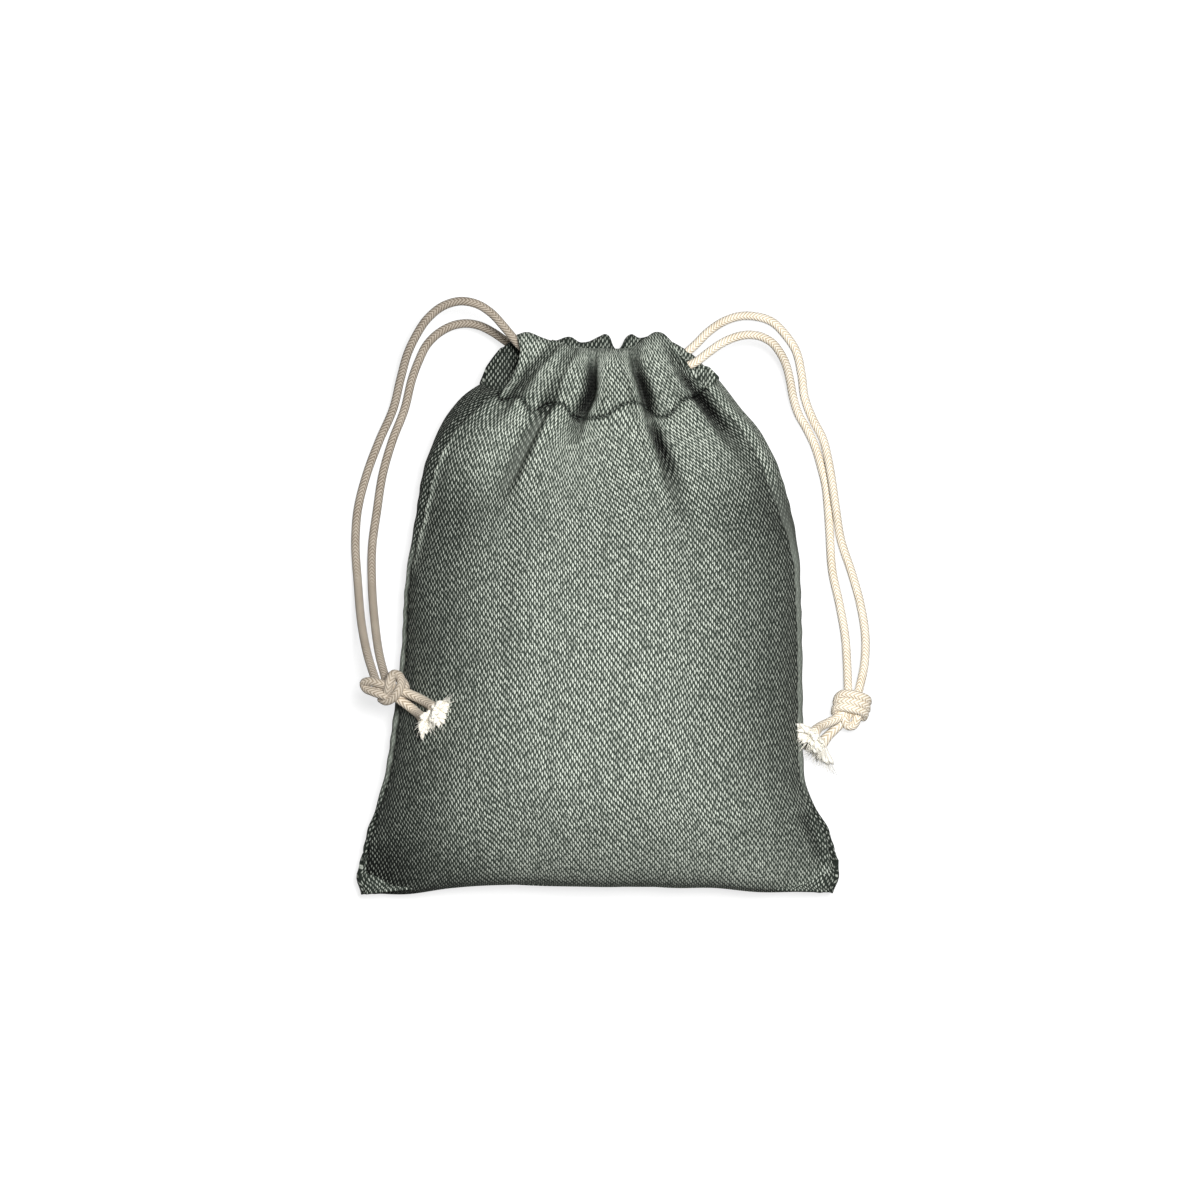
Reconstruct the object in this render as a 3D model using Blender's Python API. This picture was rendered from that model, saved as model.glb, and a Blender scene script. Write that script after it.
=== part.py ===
"""A drawstring treat pouch in woven cotton, stuffed and lying on its back, with two knotted drawcords.

X runs to the right across the pouch, Y from the bottom seam to the mouth, Z up out of the front.
The pouch rests on z = 0. Heights along the pouch, called v below, count from its bottom corners.
"""

import math

import bmesh
import bpy
import numpy as np

MM = 0.001

# Cloth and the gap that touching pieces keep
CLOTH = 0.8 * MM
GAP = 0.3 * MM

# Outline of the stuffed pouch, seen from above its front
BODY_LENGTH = 152.0 * MM
CASING_HEIGHT = 24.0 * MM
CORNER_WIDTH = 146.0 * MM
FLAT_WIDTH = 149.5 * MM
WAIST_WIDTH = 132.0 * MM
BELLY_WIDTH = 124.5 * MM
CHEST_WIDTH = 117.0 * MM
SHOULDER_WIDTH = 105.5 * MM
NECK_WIDTH = 72.0 * MM
TOP_WIDTH = 53.0 * MM
FLAT_AT = 8.0 * MM
WAIST_AT = 36.0 * MM
BELLY_AT = 94.0 * MM
CHEST_AT = 122.0 * MM
SHOULDER_AT = 141.0 * MM
NECK_AT = 162.0 * MM
WAIST_LEAN = -0.8 * MM
BELLY_LEAN = 1.4 * MM
TOP_LEAN = 1.0 * MM
BOTTOM_BOW = 3.2 * MM
BOTTOM_INSET = CLOTH / 4
STITCH_SMILE = 9.5 * MM
TOP_DROP = 1.5 * MM

# Stuffing: how far the front and the back stand off the side seams
SEAM_HEIGHT = 17.0 * MM
CROWN_RISE = 41.0 * MM
NECK_RISE = 11.0 * MM
CROWN_POWER = 2.4
CROWN_ROUND = 0.6
BOTTOM_ROUND = 48.0 * MM
BACK_ROUND = 30.0 * MM
NECK_LIFT = 0.4
SHOULDER_START = 0.5
EAR_REACH = 20.0 * MM
EAR_DROOP = 10.0 * MM
EAR_FLATNESS = 0.85

# Gathers of the back below and across its casing
FOLDS = 6
BACK_FOLD_DEPTH = 1.2 * MM
FOLD_START = 0.8

# Gathers of the front: five valleys from the casing's top down to where they run out on the body. Each point gives
# its height over the stitch line in casing heights, its place across in half neck widths, and its share of the depth.
GATHERS = (
    ((1.0, -0.39, 0.43), (0.54, -0.62, 0.66), (0.17, -0.84, 0.77), (-0.08, -0.96, 0.40), (-0.42, -1.06, 0.0)),
    ((1.0, -0.18, 0.43), (0.38, -0.38, 0.71), (-0.03, -0.51, 1.0), (-0.38, -0.63, 0.94), (-0.75, -0.76, 0.51),
     (-1.29, -0.90, 0.0)),
    ((1.0, -0.04, 0.43), (0.50, -0.07, 0.86), (0.02, -0.13, 1.0), (-0.17, -0.20, 0.69), (-0.38, -0.27, 0.26),
     (-0.67, -0.34, 0.0)),
    ((1.0, 0.24, 0.43), (0.52, 0.36, 0.86), (0.0, 0.47, 1.0), (-0.38, 0.54, 1.0), (-0.71, 0.59, 0.80),
     (-1.04, 0.66, 0.37), (-1.54, 0.75, 0.0)),
    ((1.0, 0.55, 0.43), (0.42, 0.81, 0.77), (0.13, 0.92, 0.91), (-0.17, 1.06, 0.77), (-0.43, 1.20, 0.40),
     (-0.92, 1.39, 0.0)),
)
GATHER_DEPTH = 7.0 * MM
GATHER_WIDTH = 4.0 * MM
GATHER_TOP_WIDTH = 2.4 * MM
GATHER_MARGIN = 9.0 * MM
LOBE_RISE = 3.6 * MM

# Casing sleeves and the cord lanes in them
SLEEVE_DEPTH = 3.4 * MM
CASING_STEP = GAP + 1.6 * CLOTH
SLEEVE_TOP_INSET = 1.3 * CLOTH
SLEEVE_SETTLE = 0.6
HEM_SETTLE = 0.5
FRONT_LANE_Z = 24.0 * MM
BACK_LANE_Z = 10.0 * MM
LEFT_LANE_DROP = 4.8 * MM
LANE_SPACING = 3.5 * MM

# Seams
OVERLOCK_WIDTH = 6.0 * MM
OVERLOCK_THICKNESS = 1.6 * MM
OVERLOCK_INSET = 1.2 * MM
SIDE_SEAM_START = 28.0 * MM
SIDE_SEAM_END = 148.0 * MM
BOTTOM_SEAM_REACH = 0.74
THREAD_RADIUS = 0.3 * MM
STITCH_INSET = 0.02

# Drawcords
CORD_RADIUS = 1.35 * MM
CORD_STEP = 6.0 * MM
RUN_END = 14.0 * MM
LEFT_KNOT = (-67.0, -23.2, 30.5)
RIGHT_KNOT = (80.3, -28.4, 6.6)
LEFT_KNOT_HALF = (7.0, 5.8, 5.2)
RIGHT_KNOT_HALF = (6.2, 6.2, 5.6)
KNOT_CORE = 0.74
KNOT_CLEARANCE = 2.5 * GAP
# Wraps of cord round a knot: the axis each goes round and its place along it as a share of the knot
KNOT_WRAPS = (((0.35, 0.90, 0.26), 0.34), ((-0.80, 0.45, 0.40), 0.0), ((0.30, -0.85, 0.43), 0.36))
WRAP_RADIUS = 1.15 * CORD_RADIUS
CROSSING_BEND = 2.2 * CORD_RADIUS
CROSSING_CLEARANCE = 4.0 * GAP
FRAY_FLARE = 1.9
FRAY_LENGTH = 6.0 * MM
TAIL_CLEARANCE = 2.0 * GAP
TAIL_STEP = 2.0 * MM

# Free routes of the cords from their sleeves to their knots, in millimetres
LEFT_FRONT_ROUTE = (
    (-18.0, 83.2, 24.0), (-23.0, 83.2, 24.0), (-27.8, 83.5, 24.2), (-31.0, 86.4, 24.5), (-33.0, 91.0, 24.5),
    (-35.5, 94.9, 24.2), (-39.4, 97.0, 23.4), (-43.7, 97.6, 22.2), (-48.7, 96.2, 20.0), (-53.4, 92.2, 17.4),
    (-56.9, 87.1, 14.8), (-59.4, 82.1, 12.2), (-61.7, 74.6, 8.6), (-64.3, 64.6, 4.8), (-68.8, 54.5, 2.4),
    (-72.6, 44.5, 1.6), (-75.7, 32.0, 1.6), (-76.3, 23.2, 1.9), (-75.4, 9.4, 5.0), (-74.0, -3.1, 12.4),
    (-71.9, -12.5, 20.4), (-68.6, -22.0, 29.0),
)
LEFT_BACK_ROUTE = (
    (-18.0, 83.2, 10.0), (-23.0, 83.2, 10.0), (-27.8, 83.5, 9.9), (-31.0, 85.4, 9.6), (-34.4, 88.6, 8.8),
    (-38.9, 90.7, 7.6), (-43.7, 91.2, 6.2), (-48.7, 89.5, 4.6), (-53.6, 85.0, 3.2), (-56.4, 79.6, 2.2),
    (-58.3, 74.6, 1.7), (-60.8, 64.6, 1.6), (-64.7, 54.5, 1.6), (-67.6, 44.5, 1.6), (-69.6, 32.0, 1.6),
    (-71.0, 21.6, 1.9), (-71.0, 9.4, 5.0), (-69.8, -3.1, 12.4), (-68.2, -12.5, 20.4), (-65.4, -22.0, 29.0),
)
RIGHT_FRONT_ROUTE = (
    (22.0, 79.7, 24.0), (27.0, 79.8, 24.0), (31.0, 80.2, 24.1), (34.8, 81.7, 24.0), (39.7, 85.0, 22.9),
    (44.7, 87.0, 21.2), (49.7, 87.1, 18.8), (54.7, 85.0, 15.4), (57.2, 82.1, 12.8), (59.2, 78.4, 10.0),
    (60.6, 73.4, 7.0), (61.6, 68.3, 4.8), (63.2, 63.3, 3.0), (66.0, 58.3, 1.9), (68.4, 53.3, 1.6),
    (70.7, 45.8, 1.6), (71.9, 40.8, 1.6), (72.7, 33.2, 1.6), (73.2, 25.7, 1.6), (74.1, 13.2, 1.6),
    (76.3, 3.1, 1.6), (78.2, -8.2, 2.2), (78.6, -15.0, 3.8), (78.9, -26.0, 6.6),
)
RIGHT_BACK_ROUTE = (
    (22.0, 80.0, 10.0), (28.0, 79.9, 9.8), (32.9, 80.8, 9.2), (35.0, 84.2, 8.2), (36.4, 88.2, 7.0),
    (40.0, 92.0, 5.4), (44.7, 93.8, 4.0), (49.7, 93.8, 2.8), (54.7, 92.3, 2.0), (59.7, 87.5, 1.6),
    (62.4, 83.4, 1.6), (64.3, 75.9, 1.6), (65.4, 68.0, 1.6), (68.2, 60.8, 1.9), (70.8, 55.8, 2.6),
    (72.8, 48.0, 3.7), (74.0, 40.8, 4.2), (75.1, 33.2, 3.6), (76.8, 23.2, 2.0), (80.1, 13.2, 1.6),
    (82.9, 3.1, 1.6), (84.5, -8.2, 2.2), (84.2, -15.0, 3.8), (81.8, -26.0, 6.6),
)
RIGHT_UPPER_TAIL = ((77.0, -30.4, 7.0), (73.2, -33.2, 10.8), (70.2, -35.8, 14.6), (67.6, -38.8, 18.2))
RIGHT_LOWER_TAIL = ((78.0, -32.4, 6.2), (75.0, -36.4, 5.6), (72.4, -39.8, 5.2), (69.8, -43.4, 5.0))
# The left cord's tails, which lie on the front of the pouch, seen from above
LEFT_UPPER_TAIL = ((-58.0, -25.7), (-56.2, -26.4), (-53.0, -27.8), (-48.6, -30.2))
LEFT_LOWER_TAIL = ((-60.4, -28.2), (-58.6, -29.8), (-56.0, -32.4), (-53.0, -36.2))

# Finishes
CLOTH_GREEN = (0.145, 0.175, 0.150)
THREAD_GREEN = (0.120, 0.150, 0.128)
CORD_CREAM = (0.720, 0.640, 0.520)
COTTON_ROUGHNESS = 0.9

# Facets
FRONT_COLUMNS = 54
BACK_COLUMNS = 30
ROWS = 15
SEAM_CROWDING = 0.55
ROW_CROWDING = 0.85
SLEEVE_POINTS = 10
OVERLOCK_POINTS = 16
KNOT_SEGMENTS = 24
KNOT_RINGS = 14
ROUTE_DENSITY = 40
TURN_STEPS = 3


def smooth_step(x):
    """0 to 1 with level ends."""
    x = np.clip(x, 0.0, 1.0)
    return x * x * (3.0 - 2.0 * x)


def round_in(x):
    """0 to 1 along a quarter circle, upright where it starts and level where it ends."""
    return np.sqrt(1.0 - (1.0 - np.clip(x, 0.0, 1.0)) ** 2)


def smooth_through(places, values, at):
    """A cubic through the stations, its slope at each taken from the two beside it."""
    places = np.asarray(places, float)
    values = np.asarray(values, float)
    slopes = np.gradient(values, places)
    at = np.clip(at, places[0], places[-1])
    i = np.clip(np.searchsorted(places, at) - 1, 0, len(places) - 2)
    step = places[i + 1] - places[i]
    f = (at - places[i]) / step
    start = values[i] * (1 + 2 * f) * (1 - f) ** 2 + slopes[i] * step * f * (1 - f) ** 2
    end = values[i + 1] * f**2 * (3 - 2 * f) + slopes[i + 1] * step * f**2 * (f - 1)
    return start + end


# The pouch's surfaces. s runs from -1 at the left seam to 1 at the right,
# and t from the bottom seam to the casing.


def half_width(v):
    """Half the width of the cloth's inner face at a height along the pouch."""
    places = (0.0, FLAT_AT, WAIST_AT, BELLY_AT, CHEST_AT, SHOULDER_AT, NECK_AT)
    widths = (CORNER_WIDTH, FLAT_WIDTH, WAIST_WIDTH, BELLY_WIDTH, CHEST_WIDTH, SHOULDER_WIDTH, NECK_WIDTH)
    return smooth_through(places, widths, v) / 2 - CLOTH


def middle(v):
    """How far the pouch leans sideways at a height along it."""
    places = (0.0, FLAT_AT, WAIST_AT, BELLY_AT, CHEST_AT, NECK_AT)
    return smooth_through(places, (0.0, 0.0, WAIST_LEAN, BELLY_LEAN, BELLY_LEAN, TOP_LEAN), v)


def bottom_edge(s):
    return BOTTOM_INSET + BOTTOM_BOW * (1 - s**4)


def stitch_line(s):
    return BODY_LENGTH + STITCH_SMILE * s**2


def folds(s, t):
    """Lobes of the back's gathered cloth, from -1 to 1, fading down the body and towards the side seams."""
    return -np.cos(math.pi * FOLDS * (s + 1)) * (1 - s**4) * smooth_step((t - FOLD_START) / (1 - FOLD_START))


def gathers(x, v, inside):
    """The front's gathers at a place seen from above: how deep they sink, and their share of a full valley.

    Each valley is a bell across its line. All fade out near the side seams, inside being the way to the nearer one.
    """
    up = (v - BODY_LENGTH) / CASING_HEIGHT
    width = GATHER_WIDTH + (GATHER_TOP_WIDTH - GATHER_WIDTH) * np.clip(up, 0.0, 1.0)
    depth, share = np.zeros_like(x), np.zeros_like(x)
    for valley in GATHERS:
        heights, places, depths = np.asarray(valley[::-1]).T
        line = TOP_LEAN + smooth_through(heights, places, up) * NECK_WIDTH / 2
        bell = np.exp(-(((x - line) / width) ** 2))
        depth = depth + GATHER_DEPTH * np.interp(up, heights, depths) * bell
        share = np.maximum(share, bell)
    margin = smooth_step(inside / GATHER_MARGIN)
    return depth * margin, share * margin


def ear(s, v):
    """1 at the two flat bottom corners, fading to 0 away from them."""
    across = (1 - np.abs(s)) * half_width(v)
    return np.exp(-(across**2 + v**2) / EAR_REACH**2)


def seam_height(s, v):
    return SEAM_HEIGHT - EAR_DROOP * ear(s, v)


def front_height(s, t, v):
    """The front's inner face: a crown over the seams, drawn down towards the neck."""
    across = (1 - np.abs(s) ** CROWN_POWER) ** CROWN_ROUND
    shoulder = smooth_step((t - SHOULDER_START) / (1 - SHOULDER_START))
    rise = CROWN_RISE + (NECK_RISE - CROWN_RISE) * shoulder
    rise = rise * across * round_in(t * BODY_LENGTH / BOTTOM_ROUND) * (1 - EAR_FLATNESS * ear(s, v))
    depth, _ = gathers(middle(v) + s * half_width(v), v, (1 - np.abs(s)) * half_width(v))
    return seam_height(s, v) + GAP / 2 + rise - depth


def back_height(s, t, v):
    """The back's inner face: flat on the floor under the stuffing, lifted towards the seams and the neck."""
    inside = (1 - np.abs(s)) * half_width(v)
    shoulder = smooth_step((t - SHOULDER_START) / (1 - SHOULDER_START))
    flat = round_in(inside / BACK_ROUND) * round_in(t * BODY_LENGTH / BACK_ROUND)
    flat = flat * (1 - EAR_FLATNESS * ear(s, v)) * (1 - NECK_LIFT * shoulder)
    return (seam_height(s, v) - GAP / 2) * (1 - flat) + CLOTH * flat - BACK_FOLD_DEPTH * folds(s, t)


def panel_point(height, s, t):
    """A point of a panel's inner face."""
    v = bottom_edge(s) * (1 - t) + stitch_line(s) * t
    return np.stack([middle(v) + s * half_width(v), v, height(s, t, v)], axis=-1)


def panel_normal(height, s, t):
    """The upward normal of a panel's inner face."""
    step = 1e-4
    along = panel_point(height, s + step, t) - panel_point(height, s - step, t)
    up = panel_point(height, s, t + step) - panel_point(height, s, t - step)
    normal = np.cross(along, up)
    return normal / np.linalg.norm(normal, axis=-1, keepdims=True)


def on_front(plan, height):
    """Points this far off the front's inner face, over or near the given places in plan."""
    x, v = plan[:, 0], plan[:, 1]
    s = np.clip((x - middle(v)) / half_width(v), -0.999, 0.999)
    t = (v - bottom_edge(s)) / (stitch_line(s) - bottom_edge(s))
    return panel_point(front_height, s, t) + panel_normal(front_height, s, t) * height[:, None]


def sleeve_top(s):
    """How far along the pouch the inside of a casing's top fold lies."""
    return BODY_LENGTH + CASING_HEIGHT - SLEEVE_TOP_INSET - TOP_DROP * s**2


def sleeve_point(height, lane_z, side, s, turn):
    """A point of a casing's inner face: a flat loop from the stitch line, over the top fold and back.

    turn goes once round the loop, the outer layer first. side is 1 for the front and -1 for the back.
    """
    w = (1 - np.cos(turn)) / 2
    foot = panel_point(height, s, np.ones_like(s))
    top_x = TOP_LEAN + s * TOP_WIDTH / 2
    foot_v = foot[..., 1] + CASING_STEP
    top_v = sleeve_top(s)
    rise = smooth_step(w / SLEEVE_SETTLE)
    centre = (foot[..., 2] + side * CLOTH) * (1 - rise) + lane_z * rise
    outer = np.sin(turn) > 0
    depth = np.where(outer, 1.0, smooth_step(w / HEM_SETTLE)) * SLEEVE_DEPTH * np.sin(turn)
    x = foot[..., 0] * (1 - w) + top_x * w
    v = foot_v * (1 - w) + top_v * w
    if side > 0:
        lobes = LOBE_RISE * (1 - gathers(x, v, (1 - np.abs(s)) * TOP_WIDTH / 2)[1])
    else:
        lobes = BACK_FOLD_DEPTH * (folds(s, 1.0) + 1)
    lobes = lobes * np.where(outer, 1.0, 1 - rise) * rise * (1 - s**4)
    return np.stack([x, v, centre + side * (depth + lobes * np.abs(np.sin(turn)))], axis=-1)


def lane_height(drop):
    """How far along the pouch a cord's lane lies in the casing."""
    return BODY_LENGTH + CASING_HEIGHT - drop


def casing_end(side, v):
    """X of the sleeves' open end on one side, -1 left or 1 right, at a height along the pouch."""
    foot = panel_point(front_height, np.array(float(side)), np.array(1.0))
    foot_v = foot[1] + CASING_STEP
    w = np.clip((v - foot_v) / (sleeve_top(side) - foot_v), 0, 1)
    return float(foot[0] * (1 - w) + (TOP_LEAN + side * TOP_WIDTH / 2) * w)


# Making objects


def clear_scene():
    for obj in list(bpy.data.objects):
        bpy.data.objects.remove(obj, do_unlink=True)


def material(name, colour):
    made = bpy.data.materials.new(name)
    made.use_nodes = True
    shader = made.node_tree.nodes["Principled BSDF"]
    shader.inputs["Base Color"].default_value = (*colour, 1.0)
    shader.inputs["Roughness"].default_value = COTTON_ROUGHNESS
    shader.inputs["Metallic"].default_value = 0.0
    return made


def add_object(name, data, parent, colour):
    obj = bpy.data.objects.new(name, data)
    bpy.context.scene.collection.objects.link(obj)
    obj.parent = parent
    data.materials.append(material(name, colour))
    return obj


def grid_mesh(name, points, closed_columns=False, flip=False):
    """A mesh of four-sided faces over a grid of points, its second direction joined up if asked."""
    rows, columns = points.shape[:2]
    mesh = bmesh.new()
    verts = [[mesh.verts.new(point) for point in row] for row in points]
    for i in range(rows - 1):
        for j in range(columns if closed_columns else columns - 1):
            k = (j + 1) % columns
            face = (verts[i][j], verts[i + 1][j], verts[i + 1][k], verts[i][k])
            mesh.faces.new(face[::-1] if flip else face)
    data = bpy.data.meshes.new(name)
    mesh.to_mesh(data)
    mesh.free()
    data.shade_smooth()
    return data


def thicken(obj, even):
    """Cloth thickness outwards from the inner face, kept even where the cloth lies flat."""
    solidify = obj.modifiers.new("cloth", "SOLIDIFY")
    solidify.thickness = CLOTH
    solidify.offset = 1.0
    solidify.use_even_offset = even


def strip_mesh(name, path, across):
    """A closed strip of overlocking along a path, with the given half vector across it."""
    up = np.array([0.0, 0.0, OVERLOCK_THICKNESS / 2])
    rings = np.stack([path - across - up, path + across - up, path + across + up, path - across + up], axis=1)
    data = grid_mesh(name, rings, closed_columns=True)
    mesh = bmesh.new()
    mesh.from_mesh(data)
    bmesh.ops.holes_fill(mesh, edges=mesh.edges, sides=4)
    bmesh.ops.recalc_face_normals(mesh, faces=mesh.faces)
    mesh.to_mesh(data)
    mesh.free()
    data.shade_flat()
    return data


def tube(name, points, radius, sides, parent, colour, flare=None):
    """A round tube with filled ends along points in metres, each with its share of the radius."""
    curve = bpy.data.curves.new(name, "CURVE")
    curve.dimensions = "3D"
    curve.bevel_depth = radius
    curve.bevel_resolution = sides
    curve.use_fill_caps = True
    spline = curve.splines.new("POLY")
    spline.points.add(len(points) - 1)
    for i, point in enumerate(points):
        spline.points[i].co = (*point, 1.0)
        spline.points[i].radius = 1.0 if flare is None else flare[i]
    return add_object(name, curve, parent, colour)


def lengths_along(points):
    """How far along a line each of its points lies."""
    return np.concatenate([[0.0], np.cumsum(np.linalg.norm(np.diff(points, axis=0), axis=1))])


def smooth_route(route):
    """Close points of a smooth curve through a hand-chosen route in millimetres."""
    route = np.asarray(route) * MM
    along = lengths_along(route)
    close = np.linspace(0.0, along[-1], ROUTE_DENSITY * len(route))
    return np.stack([smooth_through(along, route[:, axis], close) for axis in range(3)], axis=1)


def every(spacing, points):
    """Points at an even spacing along a line, both ends kept."""
    along = lengths_along(points)
    even = np.linspace(0.0, along[-1], max(2, round(along[-1] / spacing) + 1))
    return np.stack([np.interp(even, along, points[:, axis]) for axis in range(3)], axis=1)


# Sub-parts

def across_places(columns):
    """Columns from seam to seam, closest beside the seams."""
    a = np.linspace(-1.0, 1.0, columns + 1)
    return (1 - SEAM_CROWDING) * a + SEAM_CROWDING * np.sin(a * math.pi / 2)


def add_panel(name, height, columns, parent, flip):
    """A front or back panel, sewn to the other along its sides and bottom."""
    a = np.linspace(0.0, 1.0, ROWS + 1)
    rows = a - ROW_CROWDING * np.sin(2 * math.pi * a) / (2 * math.pi)
    s, t = np.meshgrid(across_places(columns), rows)
    obj = add_object(name, grid_mesh(name, panel_point(height, s, t), flip=flip), parent, CLOTH_GREEN)
    thicken(obj, even=True)


def add_casing(name, height, lane_z, side, columns, parent):
    """The gathered sleeve folded over at the mouth, open at both ends for the cords."""
    turns = np.arange(SLEEVE_POINTS) * 2 * math.pi / SLEEVE_POINTS
    turn, s = np.meshgrid(turns, across_places(columns))
    points = sleeve_point(height, lane_z, side, s, turn)
    obj = add_object(name, grid_mesh(name, points, True, flip=side < 0), parent, CLOTH_GREEN)
    thicken(obj, even=False)


def add_side_overlock(name, side, parent):
    """The overlocked seam allowance inside one side seam."""
    v = np.linspace(SIDE_SEAM_START, SIDE_SEAM_END, OVERLOCK_POINTS)
    s = np.full_like(v, side)
    edge = middle(v) + side * half_width(v)
    reach = OVERLOCK_INSET + OVERLOCK_WIDTH / 2
    path = np.stack([edge - side * reach, v, seam_height(s, v)], axis=1)
    data = strip_mesh(name, path, np.array([OVERLOCK_WIDTH / 2, 0, 0]))
    add_object(name, data, parent, THREAD_GREEN)


def add_bottom_overlock(name, parent):
    """The overlocked seam allowance inside the bottom seam."""
    s = np.linspace(-BOTTOM_SEAM_REACH, BOTTOM_SEAM_REACH, OVERLOCK_POINTS)
    v = bottom_edge(s) + OVERLOCK_INSET + OVERLOCK_WIDTH / 2
    path = np.stack([middle(v) + s * half_width(v), v, seam_height(s, v)], axis=1)
    data = strip_mesh(name, path, np.array([0, OVERLOCK_WIDTH / 2, 0]))
    add_object(name, data, parent, THREAD_GREEN)


def add_stitching(name, height, side, columns, parent):
    """The sewing thread that closes a casing, lying on the cloth along the stitch line.

    It keeps as far off the cloth as a ball that rolls along the line, so it bridges the narrowest gathers.
    """
    s = across_places(columns)[1:-1]
    points = panel_point(height, s, np.full_like(s, 1 - STITCH_INSET))
    near, along = np.meshgrid(
        np.linspace(s[0], s[-1], ROUTE_DENSITY * 12), np.linspace(1 - 2 * STITCH_INSET, 1.0, 9)
    )
    cloth = panel_point(height, near, along).reshape(-1, 3)
    off = CLOTH + 2 * GAP + THREAD_RADIUS
    away = np.linalg.norm(points[:, None, :2] - cloth[None, :, :2], axis=-1)
    touch = side * cloth[:, 2] + np.sqrt(np.clip(off**2 - away**2, 0.0, None))
    points[:, 2] = side * np.where(away < off, touch, -np.inf).max(axis=1)
    tube(name, points, THREAD_RADIUS, 1, parent, THREAD_GREEN)


def knot_reach(direction, half_sizes):
    """Distance from a knot's middle to its surface: a core with three wraps of cord round it."""
    width = WRAP_RADIUS / (MM * np.mean(half_sizes))
    ridge = np.zeros(direction.shape[:-1])
    for axis, offset in KNOT_WRAPS:
        axis = np.asarray(axis) / np.linalg.norm(axis)
        away = (direction @ axis - offset) / width
        ridge = np.maximum(ridge, np.sqrt(np.clip(1 - away**2, 0.0, 1.0)))
    size = 1 / np.linalg.norm(direction / (np.asarray(half_sizes) * MM), axis=-1)
    return size * (KNOT_CORE + (1 - KNOT_CORE) * ridge)


def add_knot(name, centre, half_sizes, parent):
    """The overhand knot that ties a cord's two strands together."""
    mesh = bmesh.new()
    bmesh.ops.create_uvsphere(mesh, u_segments=KNOT_SEGMENTS, v_segments=KNOT_RINGS, radius=1.0)
    for vert in mesh.verts:
        direction = np.array(vert.co.normalized())
        vert.co = (direction * knot_reach(direction, half_sizes) + np.asarray(centre) * MM).tolist()
    data = bpy.data.meshes.new(name)
    mesh.to_mesh(data)
    mesh.free()
    data.shade_smooth()
    add_object(name, data, parent, CORD_CREAM)


def clear_of_knot(points, centre, half_sizes):
    """The points that lie outside a knot by the gap that pieces keep."""
    offset = points - np.asarray(centre) * MM
    distance = np.linalg.norm(offset, axis=1)
    reach = knot_reach(offset / distance[:, None], half_sizes)
    return points[distance > reach + KNOT_CLEARANCE]


def add_strand(name, route, lane_v, lane_z, origin_v, side, knot, half_sizes, parent):
    """One end of a drawcord: a straight run in its sleeve, then its free way to the knot."""
    free = every(CORD_STEP, clear_of_knot(smooth_route(route), knot, half_sizes))
    run = np.array([[-side * RUN_END, lane_v - origin_v, lane_z]])
    free[0, 1] = lane_v - origin_v
    tube(name, np.concatenate([run, free]), CORD_RADIUS, 2, parent, CORD_CREAM)


def add_crossing(name, lane_v, side, parent):
    """The middle of a drawcord, which turns from the front sleeve into the back one at its far side slit."""
    end = casing_end(side, lane_v) + side * (CORD_RADIUS + CROSSING_CLEARANCE)
    start = side * (RUN_END + GAP)
    mid_z = (FRONT_LANE_Z + BACK_LANE_Z) / 2
    half = (FRONT_LANE_Z - BACK_LANE_Z) / 2
    points = [(start, lane_v, FRONT_LANE_Z)]
    for step in range(2 * TURN_STEPS + 1):
        angle = math.pi / 2 * (1 - step / TURN_STEPS)
        corner = max(half - CROSSING_BEND, 0.0) * np.sign(TURN_STEPS - step)
        x = end - side * CROSSING_BEND * (1 - math.cos(angle))
        points.append((x, lane_v, mid_z + corner + CROSSING_BEND * math.sin(angle)))
    points.append((start, lane_v, BACK_LANE_Z))
    tube(name, np.array(points), CORD_RADIUS, 2, parent, CORD_CREAM)


def add_tail(name, route, knot, half_sizes, parent):
    """A cord's cut end below the knot, frayed into a tuft."""
    points = every(TAIL_STEP, clear_of_knot(smooth_route(route), knot, half_sizes))
    tube(name, points, CORD_RADIUS, 2, parent, CORD_CREAM, fray(points))


def add_tail_on_front(name, plan, origin_v, knot, half_sizes, parent):
    """A cut end that lies on the front of the pouch."""
    flat = smooth_route([(x, y, 0.0) for x, y in plan])
    flat[:, 1] += origin_v
    points = on_front(flat, CLOTH + TAIL_CLEARANCE + CORD_RADIUS * fray(flat))
    points[:, 1] -= origin_v
    points = every(TAIL_STEP, clear_of_knot(points, knot, half_sizes))
    tube(name, points, CORD_RADIUS, 2, parent, CORD_CREAM, fray(points))


def fray(points):
    """The share of the cord's radius along a tail, which spreads towards its last point."""
    to_end = np.linalg.norm(points - points[-1], axis=1)
    return 1 + (FRAY_FLARE - 1) * smooth_step(1 - to_end / FRAY_LENGTH)


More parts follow.
